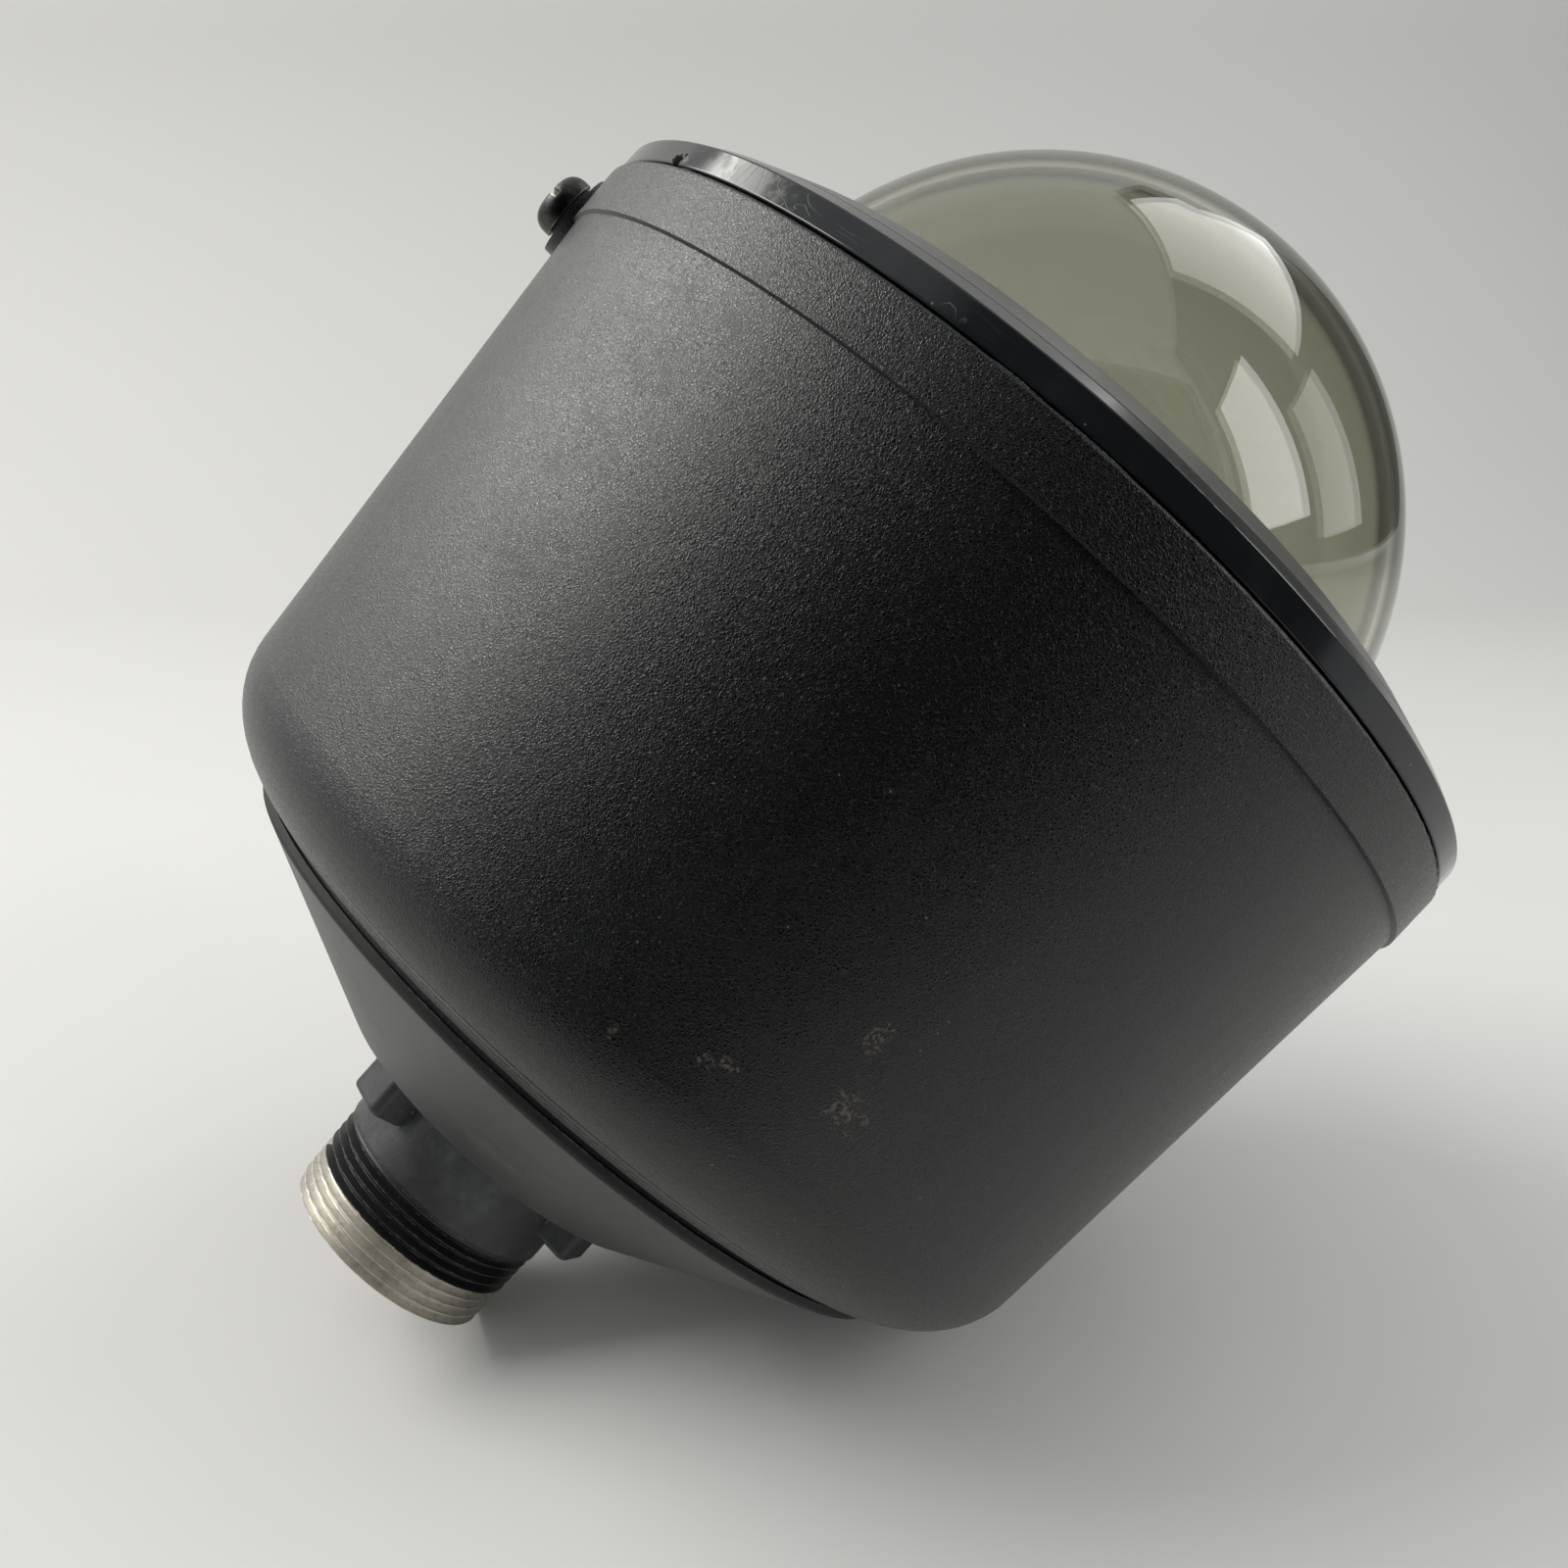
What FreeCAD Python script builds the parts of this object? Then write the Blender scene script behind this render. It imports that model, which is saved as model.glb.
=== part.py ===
"""Pendant dome housing for a security camera.

The housing hangs from a pipe thread: stub up, dome down, +Z up, sizes in millimetres.
The origin is on the pipe axis, in the plane where the tapered thread is hand tight.
The two latch screws lie along the X axis.
"""
import FreeCAD
import Part
import Sketcher
import math
import os

os.makedirs("parts", exist_ok=True)
doc = FreeCAD.newDocument("camera_housing")

# Every size that can be set by itself: name, value, what it is
SIZES = [
    ("stub_above", "10.7", "stub end above the hand tight plane"),
    ("thread_length", "18.4", "threaded length of the stub"),
    ("stub_radius", "24.0", "radius of the stub over its thread"),
    ("stub_bore", "18.5", "radius of the cable passage"),
    ("stub_chamfer", "0.9", "chamfer at the stub end"),
    ("neck_radius", "24.3", "plain neck between thread and cap"),
    ("neck_fillet", "1.6", "fillet between neck and cap"),
    ("cap_flat_depth", "25.9", "flat top of the cap below the origin"),
    ("cap_flat_radius", "40.5", "flat top of the cap"),
    ("cap_inset", "15.7368", "rim of the cap inside the barrel line at the box top"),
    ("cap_pitch", "0.577", "fall of the cone for each millimetre outward"),
    ("cap_rim_wall", "1.8", "upright wall of the rim"),
    ("cap_wall", "4.5", "thickness of the flat top"),
    ("cap_cone_depth", "5.2", "thickness of the cone, measured upright"),
    ("cap_land", "12.0", "width of the ring that sits on the gasket"),
    ("cap_edge", "1.0", "rounding of the rim"),
    ("lug_reach", "31.5", "outer face of the wrench lugs"),
    ("lug_width", "11.5", "width of a wrench lug"),
    ("lug_height", "11.1", "wrench lug above the flat top"),
    ("lug_edge", "2.2", "rounding of the wrench lugs"),
    ("cap_screw_circle", "60.0", "radius of the cap screw circle"),
    ("cap_boss_radius", "6.0", "bosses for the cap screws"),
    ("cap_screw_radius", "2.5", "shank of a cap screw"),
    ("cap_screw_length", "16.0", "shank length of a cap screw"),
    ("cap_head_radius", "4.25", "head of a cap screw"),
    ("cap_head_height", "5.0", "head height of a cap screw"),
    ("cap_key", "2.3", "hex socket of a cap screw, to a corner"),
    ("cap_washer_radius", "6.0", "washer under a cap screw"),
    ("cap_washer_thick", "1.0", "washer thickness"),
    ("gasket_thick", "1.0", "cap gasket, clamped"),
    ("gasket_inner", "50.0", "inner radius of the cap gasket"),
    ("gasket_inset", "1.2", "gasket edge behind the cap rim"),
    ("box_height", "127.6", "box from its top to its mouth"),
    ("box_mouth_radius", "108.2", "barrel carried on to the mouth"),
    ("box_draft", "0.082", "inward slope of the barrel"),
    ("box_wall", "3.5", "wall of the box"),
    ("shoulder_radius", "20.0", "rounded shoulder of the box"),
    ("band_height", "11.6", "raised band at the mouth"),
    ("band_proud", "0.1", "raised band beyond the barrel at the mouth"),
    ("band_taper", "0.3", "how much smaller the band is at its step"),
    ("band_step", "0.35", "height of the sloping step"),
    ("mouth_edge", "0.8", "rounding of the mouth"),
    ("box_hole", "28.0", "cable hole in the top of the box"),
    ("rib_thick", "2.5", "stiffening rib"),
    ("rib_depth", "4.0", "rib standing in from the wall"),
    ("rib_low", "22.0", "lower end of the ribs above the mouth"),
    ("rib_high", "24.0", "upper end of the ribs below the box top"),
    ("latch_height", "9.2", "latch screw axis above the mouth"),
    ("pad_radius", "8.6", "flat pad round a latch screw"),
    ("pad_proud", "0.7", "face of the latch pad beyond the barrel at the mouth"),
    ("bush_radius", "4.5", "threaded bush in the wall"),
    ("bush_length", "5.7", "length of the bush"),
    ("latch_radius", "3.0", "shank of a latch screw"),
    ("latch_head_radius", "6.2", "head of a latch screw"),
    ("latch_head_height", "4.6", "domed head of a latch screw"),
    ("latch_slot_width", "1.5", "driver slot"),
    ("latch_slot_depth", "1.6", "driver slot depth"),
    ("latch_washer_radius", "5.2", "captive washer"),
    ("latch_washer_thick", "1.1", "captive washer thickness"),
    ("running", "0.05", "running clearance round a turning shank"),
    ("seat", "0.05", "clearance round a fixed shank"),
    ("plate_drop", "15.9", "plate bosses below the ceiling of the box"),
    ("plate_gap", "7.8276", "mounting plate inside the ribs"),
    ("plate_thick", "2.0", "mounting plate thickness"),
    ("plate_rim", "5.0", "turned down rim of the plate"),
    ("plate_screw_edge", "14.0", "plate screws from the edge of the plate"),
    ("plate_boss_radius", "5.5", "bosses for the plate screws"),
    ("plate_screw_radius", "2.0", "shank of a plate screw"),
    ("plate_screw_length", "12.0", "shank length of a plate screw"),
    ("plate_head_radius", "3.8", "head of a plate screw"),
    ("plate_head_height", "2.6", "head height of a plate screw"),
    ("window_near", "38.0", "cable window, inner side"),
    ("window_far", "60.0", "cable window, outer side"),
    ("window_half", "11.0", "half the length of a cable window"),
    ("grommet_inner", "20.0", "inner radius of the cable grommet"),
    ("grommet_lip", "3.5", "lip of the grommet over the hole"),
    ("grommet_lip_thick", "2.4", "thickness of the grommet lips"),
    ("pan_bolt_radius", "4.0", "shank of the pan bolt"),
    ("pan_head_radius", "6.5", "head of the pan bolt, to a corner"),
    ("pan_head_height", "5.0", "head height of the pan bolt"),
    ("pan_nut_height", "6.5", "nut on the pan bolt"),
    ("pan_nut_radius", "7.4", "nut on the pan bolt, to a corner"),
    ("pan_thread_over", "1.5", "pan bolt standing out of its nut"),
    ("pan_washer_radius", "16.0", "friction washer of the pan"),
    ("pan_washer_thick", "1.5", "friction washer thickness"),
    ("pan_disc_radius", "34.0", "pan disc"),
    ("pan_disc_thick", "3.0", "pan disc thickness"),
    ("yoke_half", "40.0", "half the width of the yoke, outside"),
    ("yoke_thick", "2.5", "sheet of the yoke"),
    ("yoke_width", "18.0", "width of the yoke strip"),
    ("tilt_drop", "79.0", "tilt axis below the yoke web"),
    ("rivet_x", "22.0", "rivets from the pan axis"),
    ("rivet_y", "5.0", "rivets from the pan plane"),
    ("rivet_radius", "1.6", "rivet shank"),
    ("rivet_head_radius", "3.0", "rivet head"),
    ("rivet_head_height", "1.2", "rivet head height"),
    ("tilt_screw_radius", "2.5", "shank of a tilt screw"),
    ("tilt_knob_radius", "7.0", "knob of a tilt screw"),
    ("tilt_knob_length", "6.0", "knob length"),
    ("tilt_washer_radius", "6.0", "tilt washer"),
    ("tilt_washer_thick", "0.7", "tilt washer thickness"),
    ("tilt_nut_radius", "4.6", "nut of a tilt screw, to a corner"),
    ("tilt_nut_height", "4.0", "nut of a tilt screw"),
    ("sled_thick", "2.0", "sheet of the camera sled"),
    ("sled_ear", "16.0", "width of the sled ears"),
    ("sled_rise", "21.0", "sled tray above the tilt axis"),
    ("sled_back", "30.0", "sled tray behind the tilt axis"),
    ("sled_front", "34.0", "sled tray in front of the tilt axis"),
    ("sled_tray_half", "30.0", "half the width of the sled tray"),
    ("slot_half", "3.25", "half the width of the camera slot"),
    ("slot_reach", "20.0", "camera slot each way from the middle"),
    ("camera_pad_thick", "1.0", "rubber pad under the tray"),
    ("camera_screw_radius", "3.17", "shank of the camera screw"),
    ("camera_screw_reach", "6.0", "camera screw below the pad"),
    ("camera_knob_radius", "8.0", "knob of the camera screw"),
    ("camera_knob_height", "8.0", "knob height"),
    ("board_half", "30.0", "half the length of the terminal board"),
    ("board_inset", "37.0", "plate edge in to the terminal board"),
    ("board_depth", "28.0", "depth of the terminal board"),
    ("board_thick", "1.6", "terminal board thickness"),
    ("standoff_height", "7.0", "board standoffs"),
    ("standoff_radius", "3.2", "board standoffs, to a corner"),
    ("standoff_inset", "4.0", "standoffs from the board edges"),
    ("standoff_stud", "1.5", "stud and screw radius"),
    ("board_screw_length", "6.0", "shank length of a board screw"),
    ("board_head_radius", "2.7", "head of a board screw"),
    ("board_head_height", "1.8", "head height of a board screw"),
    ("power_half", "19.0", "half the length of the power terminals"),
    ("power_depth", "11.0", "depth of the power terminals"),
    ("power_height", "11.5", "height of the power terminals"),
    ("power_pitch", "7.6", "pitch of the power terminals"),
    ("signal_half", "15.0", "half the length of the signal terminals"),
    ("signal_depth", "8.0", "depth of the signal terminals"),
    ("signal_height", "9.0", "height of the signal terminals"),
    ("signal_pitch", "5.0", "pitch of the signal terminals"),
    ("jack_outward", "1.25", "video jack outwards of half way from disc to screw boss"),
    ("jack_radius", "4.8", "video jack barrel"),
    ("jack_flange", "7.0", "video jack flange"),
    ("jack_flange_thick", "2.2", "video jack flange thickness"),
    ("jack_below", "13.0", "video jack below the plate"),
    ("jack_above", "9.0", "video jack above the plate"),
    ("jack_nut_height", "2.8", "nut of the video jack"),
    ("jack_nut_radius", "8.0", "nut of the video jack, to a corner"),
    ("ring_gap", "0.45", "gap between box mouth and trim ring"),
    ("ring_inset", "0.6", "trim ring rim inside the barrel at the mouth"),
    ("ring_rim", "4.9", "upright rim of the trim ring"),
    ("ring_wall", "3.2", "wall of the trim ring"),
    ("ring_step_width", "3.6", "outer strip of the ring, rim to groove line"),
    ("ring_step_drop", "2.5", "groove line below the rim"),
    ("ring_groove", "0.35", "depth of the groove line"),
    ("ring_slope_width", "10.0", "sloping strip, groove line to crest"),
    ("ring_crest_drop", "7.8", "crest of the ring below the rim"),
    ("ring_lip_drop", "8.3", "lip of the ring below the rim"),
    ("ring_turn_width", "1.5", "turn from the crest to the flat lip"),
    ("dome_gap", "1.2", "opening of the trim ring round the dome"),
    ("ring_edge", "0.45", "rounding of the ring edges"),
    ("skirt_gap", "2.1", "skirt of the ring inside the box wall"),
    ("skirt_wall", "4.0", "wall of the skirt"),
    ("skirt_height", "14.2", "skirt above the mouth plane"),
    ("seal_wire", "1.5", "section radius of the box seal"),
    ("seal_sink", "0.25", "centre circle of the box seal inside the skirt"),
    ("seal_height", "3.3", "box seal above the mouth plane"),
    ("seal_groove_half", "1.75", "half the width of the seal groove"),
    ("seal_clear", "0.2", "floor of the seal groove behind the seal"),
    ("flange_width", "12.6", "flange of the dome beyond its bowl"),
    ("dome_wall", "3.0", "wall of the dome"),
    ("flange_clear", "0.6", "flange of the dome from the bosses"),
    ("dome_flange_thick", "3.0", "flange thickness"),
    ("dome_fillet", "0.9", "fillet between dome and flange"),
    ("dome_seal_thick", "0.5", "seal under the dome flange"),
    ("dome_seal_inset", "3.5", "inner edge of the dome seal from the bowl"),
    ("dome_centre_rise", "0.3", "flange top above the centre of the dome"),
    ("retainer_lap", "3.0", "inner edge of the retaining ring from the bowl"),
    ("retainer_gap", "3.2", "outer edge of the retaining ring from the skirt"),
    ("retainer_thick", "2.0", "retaining ring thickness"),
    ("retainer_edge", "3.9", "retaining screws from the edge of their ring"),
    ("retainer_boss", "3.3", "bosses for the retaining screws"),
    ("retainer_screw", "1.5", "shank of a retaining screw"),
    ("retainer_reach", "3.0", "retaining screw below its ring"),
    ("retainer_head", "2.8", "head of a retaining screw"),
    ("retainer_head_height", "1.9", "head height of a retaining screw"),
]

sheet = doc.addObject("Spreadsheet::Sheet", "Sizes")
for row, (name, value, note) in enumerate(SIZES, start=1):
    sheet.set("A%d" % row, name)
    sheet.set("B%d" % row, value)
    sheet.set("C%d" % row, note)
    sheet.setAlias("B%d" % row, name)
doc.recompute()


class Size:
    """A length that knows its formula on the sheet and its value now."""

    def __init__(self, text, value):
        self.text = text
        self.value = float(value)

    def __add__(self, other):
        other = as_size(other)
        return Size("(%s + %s)" % (self.text, other.text), self.value + other.value)

    def __radd__(self, other):
        return as_size(other) + self

    def __sub__(self, other):
        other = as_size(other)
        return Size("(%s - %s)" % (self.text, other.text), self.value - other.value)

    def __rsub__(self, other):
        return as_size(other) - self

    def __mul__(self, other):
        other = as_size(other)
        return Size("(%s * %s)" % (self.text, other.text), self.value * other.value)

    def __rmul__(self, other):
        return as_size(other) * self

    def __truediv__(self, other):
        other = as_size(other)
        return Size("(%s / %s)" % (self.text, other.text), self.value / other.value)

    def __neg__(self):
        return Size("(0 - %s)" % self.text, -self.value)


def as_size(number):
    if isinstance(number, Size):
        return number
    return Size("%.6f" % number, number)


def root_of(size):
    return Size("sqrt(%s)" % size.text, size.value ** 0.5)


class Sheet:
    """The sizes by name."""


S = Sheet()
for name, value, note in SIZES:
    setattr(S, name, Size("Sizes." + name, sheet.get(name)))

# Radii, from the barrel of the box inwards
cap_radius = S.box_mouth_radius - S.box_height * S.box_draft - S.cap_inset
band_radius = S.box_mouth_radius + S.band_proud
band_top_radius = band_radius - S.band_taper
pad_reach = S.box_mouth_radius + S.pad_proud
bush_inner = pad_reach - S.bush_length
ring_radius = S.box_mouth_radius - S.ring_inset
ring_step_radius = ring_radius - S.ring_step_width
ring_crest_radius = ring_step_radius - S.ring_slope_width
ring_lip_radius = ring_crest_radius - S.ring_turn_width
skirt_radius = S.box_mouth_radius - S.box_wall - S.skirt_gap
seal_radius = skirt_radius - S.seal_sink
seal_groove_floor = seal_radius - S.seal_wire - S.seal_clear
retainer_outer = skirt_radius - S.skirt_wall - S.retainer_gap
retainer_circle = retainer_outer - S.retainer_edge
dome_flange = retainer_circle - S.retainer_boss - S.flange_clear
dome_radius = dome_flange - S.flange_width
ring_open = dome_radius + S.dome_gap
dome_seal_inner = dome_radius + S.dome_seal_inset
retainer_inner = dome_radius + S.retainer_lap

# Levels, from the stub down to the dome
stub_top = S.stub_above
thread_end = S.stub_above - S.thread_length
cap_flat = -S.cap_flat_depth
cap_rim = cap_flat - (cap_radius - S.cap_flat_radius) * S.cap_pitch
cap_bottom = cap_rim - S.cap_rim_wall
box_top = cap_bottom - S.gasket_thick
ceiling = box_top - S.box_wall
mouth = box_top - S.box_height
step_level = mouth + S.band_height
latch_level = mouth + S.latch_height
plate_top = ceiling - S.plate_drop
plate_low = plate_top - S.plate_thick
disc_top = plate_low - S.pan_washer_thick - S.running
disc_low = disc_top - S.pan_disc_thick
web_low = disc_low - S.yoke_thick
tilt_level = web_low - S.tilt_drop
board_top = plate_low - S.standoff_height
board_low = board_top - S.board_thick
tray_low = tilt_level + S.sled_rise
tray_top = tray_low + S.sled_thick
ring_top = mouth - S.ring_gap
rim_low = ring_top - S.ring_rim
lip_low = rim_low - S.ring_lip_drop
lip_top = lip_low + S.ring_wall
flange_low = lip_top + S.dome_seal_thick
flange_top = flange_low + S.dome_flange_thick
dome_centre = flange_top - S.dome_centre_rise
skirt_top = mouth + S.skirt_height
seal_level = mouth + S.seal_height


def wall_at(level):
    """Outer radius of the sloping barrel at a level."""
    return S.box_mouth_radius - (level - mouth) * S.box_draft


def inner_wall_at(level):
    """Inner radius of the box at a level."""
    return wall_at(level) - S.box_wall


plate_radius = inner_wall_at(plate_top) - S.rib_depth - S.plate_gap
plate_screw_circle = plate_radius - S.plate_screw_edge
board_near = plate_radius - S.board_inset
jack_nearest = S.pan_disc_radius + S.jack_flange
jack_farthest = plate_screw_circle - S.plate_boss_radius - S.jack_nut_radius
jack_y = (jack_nearest + jack_farthest) * 0.5 + S.jack_outward

# How far round the axis each ring of screws and lugs is turned, in degrees
lug_turn = -30
cap_screw_turn = 45
plate_screw_turn = 30


def new_body(label):
    body = doc.addObject("PartDesign::Body", label)
    body.Label = label
    body.AllowCompound = True
    body.Placement = FreeCAD.Placement(FreeCAD.Vector(0, 0, 0), FreeCAD.Rotation(0, 0, 0))
    return body


def origin_part(body, role):
    for feature in body.Origin.OriginFeatures:
        if feature.Role == role:
            return feature
    raise ValueError(role)


def new_sketch(body, name, role, level=None, turn=0.0):
    """A sketch on one of the body's own origin planes, lifted along its normal."""
    sketch = body.newObject("Sketcher::SketchObject", name)
    sketch.AttachmentSupport = [(origin_part(body, role), "")]
    sketch.MapMode = "FlatFace"
    lift = 0.0
    if level is not None:
        lift = level.value
    turned = FreeCAD.Rotation(FreeCAD.Vector(0, 0, 1), turn)
    sketch.AttachmentOffset = FreeCAD.Placement(FreeCAD.Vector(0, 0, lift), turned)
    if level is not None:
        sketch.setExpression("AttachmentOffset.Base.z", level.text)
    return sketch


def drive(sketch, kind, geometry, point, size):
    """Hold one coordinate of a point to a formula on the sheet."""
    if not isinstance(size, Size):
        axis = -2 if kind == "DistanceX" else -1
        sketch.addConstraint(Sketcher.Constraint("PointOnObject", geometry, point, axis))
        return
    constraint = Sketcher.Constraint(kind, -1, 1, geometry, point, size.value)
    index = sketch.addConstraint(constraint)
    sketch.setExpression("Constraints[%d]" % index, size.text)


def number(size):
    return size.value if isinstance(size, Size) else float(size)


def add_outline(sketch, points):
    """A closed outline through points; a third entry makes an arc of that radius to the next.

    A third entry of None makes a half circle whose ends lie level with each other.
    """
    count = len(points)
    first = sketch.GeometryCount
    ends = []
    for i in range(count):
        here = FreeCAD.Vector(number(points[i][0]), number(points[i][1]), 0)
        after = points[(i + 1) % count]
        there = FreeCAD.Vector(number(after[0]), number(after[1]), 0)
        if len(points[i]) > 2:
            radius = points[i][2]
            chord = there - here
            half = chord.Length / 2
            size = half if radius is None else number(radius)
            side = FreeCAD.Vector(chord.y, -chord.x, 0).normalize() * points[i][3]
            centre = (here + there) * 0.5 - side * (max(0.0, size ** 2 - half ** 2) ** 0.5)
            begin = math.atan2(here.y - centre.y, here.x - centre.x)
            finish = math.atan2(there.y - centre.y, there.x - centre.x)
            ends.append((1, 2) if points[i][3] > 0 else (2, 1))
            if points[i][3] < 0:
                begin, finish = finish, begin
            if finish < begin:
                finish += math.pi * 2
            circle = Part.Circle(centre, FreeCAD.Vector(0, 0, 1), size)
            sketch.addGeometry(Part.ArcOfCircle(circle, begin, finish))
            if radius is None:
                drive(sketch, "DistanceY", first + i, 3, points[i][1])
            else:
                held = Sketcher.Constraint("Radius", first + i, radius.value)
                index = sketch.addConstraint(held)
                sketch.setExpression("Constraints[%d]" % index, radius.text)
        else:
            sketch.addGeometry(Part.LineSegment(here, there))
            ends.append((1, 2))
    for i in range(count):
        k = (i + 1) % count
        joint = Sketcher.Constraint("Coincident", first + i, ends[i][1], first + k, ends[k][0])
        sketch.addConstraint(joint)
    for i in range(count):
        drive(sketch, "DistanceX", first + i, ends[i][0], points[i][0])
        drive(sketch, "DistanceY", first + i, ends[i][0], points[i][1])


def add_circle(sketch, x, y, radius):
    centre = FreeCAD.Vector(number(x), number(y), 0)
    circle = Part.Circle(centre, FreeCAD.Vector(0, 0, 1), radius.value)
    index = sketch.addGeometry(circle)
    if not isinstance(x, Size) and not isinstance(y, Size):
        sketch.addConstraint(Sketcher.Constraint("Coincident", index, 3, -1, 1))
    else:
        drive(sketch, "DistanceX", index, 3, x)
        drive(sketch, "DistanceY", index, 3, y)
    held = sketch.addConstraint(Sketcher.Constraint("Radius", index, radius.value))
    sketch.setExpression("Constraints[%d]" % held, radius.text)


def add_box(sketch, left, right, low, high):
    add_outline(sketch, [(left, low), (right, low), (right, high), (left, high)])


def add_slot(sketch, y_low, y_high, half):
    """A slot with round ends along the sketch's second axis, about its first zero."""
    left = -half
    points = [(half, y_low), (half, y_high, None, 1), (left, y_high), (left, y_low, None, 1)]
    add_outline(sketch, points)


def add_hexagon(sketch, x, y, radius):
    long = radius
    short = radius * 0.5
    tall = radius * 0.8660254
    if not isinstance(x, Size):
        x = as_size(x)
    if not isinstance(y, Size):
        y = as_size(y)
    corners = [(x + long, y), (x + short, y + tall), (x - short, y + tall)]
    corners += [(x - long, y), (x - short, y - tall), (x + short, y - tall)]
    add_outline(sketch, corners)


def turn_profile(body, name, points, kind="PartDesign::Revolution"):
    """Turn a half outline, radius and height, about the pipe axis."""
    sketch = new_sketch(body, name + "_outline", "XZ_Plane")
    add_outline(sketch, points)
    before = volume_of(body)
    feature = body.newObject(kind, name)
    feature.Profile = sketch
    feature.ReferenceAxis = (sketch, ["V_Axis"])
    feature.Angle = 360
    doc.recompute()
    if kind == "PartDesign::Groove":
        check_cut(body, name, before)
    return feature


def volume_of(body):
    if body.Tip is None or body.Shape.isNull():
        return 0.0
    return body.Shape.Volume


def check_cut(body, name, before):
    if body.Shape.Volume > before - 0.01:
        raise RuntimeError("%s cuts nothing from %s" % (name, body.Label))


def pad(body, sketch, name, length, up=True, symmetric=False):
    feature = body.newObject("PartDesign::Pad", name)
    feature.Profile = sketch
    feature.Length = length.value
    feature.setExpression("Length", length.text)
    feature.Reversed = not up
    if symmetric:
        feature.SideType = "Symmetric"
    doc.recompute()
    return feature


def pocket(body, sketch, name, length=None, up=False, symmetric=False):
    before = volume_of(body)
    feature = body.newObject("PartDesign::Pocket", name)
    feature.Profile = sketch
    feature.Reversed = up
    if length is None:
        feature.Type = "ThroughAll"
    else:
        feature.Length = length.value
        feature.setExpression("Length", length.text)
    if symmetric:
        feature.SideType = "Symmetric"
    doc.recompute()
    check_cut(body, name, before)
    return feature


def polar(body, name, features, count):
    pattern = body.newObject("PartDesign::PolarPattern", name)
    pattern.Originals = features
    pattern.Axis = (origin_part(body, "Z_Axis"), [""])
    pattern.Angle = 360
    pattern.Occurrences = count
    body.Tip = pattern
    doc.recompute()
    return pattern


def mirror(body, name, features, role):
    mirrored = body.newObject("PartDesign::Mirrored", name)
    mirrored.Originals = features
    mirrored.MirrorPlane = (origin_part(body, role), [""])
    body.Tip = mirrored
    doc.recompute()
    return mirrored


def round_edges(body, name, radius, wanted):
    """Round the edges that the test picks out."""
    names = []
    for i, edge in enumerate(body.Shape.Edges, start=1):
        if not edge.Degenerated and wanted(edge):
            names.append("Edge%d" % i)
    if not names:
        raise RuntimeError("%s finds no edge on %s" % (name, body.Label))
    base = body.Tip
    feature = body.newObject("PartDesign::Fillet", name)
    feature.Base = (base, names)
    feature.Radius = radius.value
    feature.setExpression("Radius", radius.text)
    body.Tip = feature
    doc.recompute()
    return feature


def ring_edge(radius, level):
    """A test for the round edge of a turned profile at a radius and level."""

    def wanted(edge):
        curve = edge.Curve
        if not isinstance(curve, Part.Circle):
            return False
        near_radius = abs(curve.Radius - number(radius)) < 0.02
        on_axis = abs(curve.Center.x) + abs(curve.Center.y) < 0.02
        return near_radius and on_axis and abs(curve.Center.z - number(level)) < 0.02

    return wanted


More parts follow.
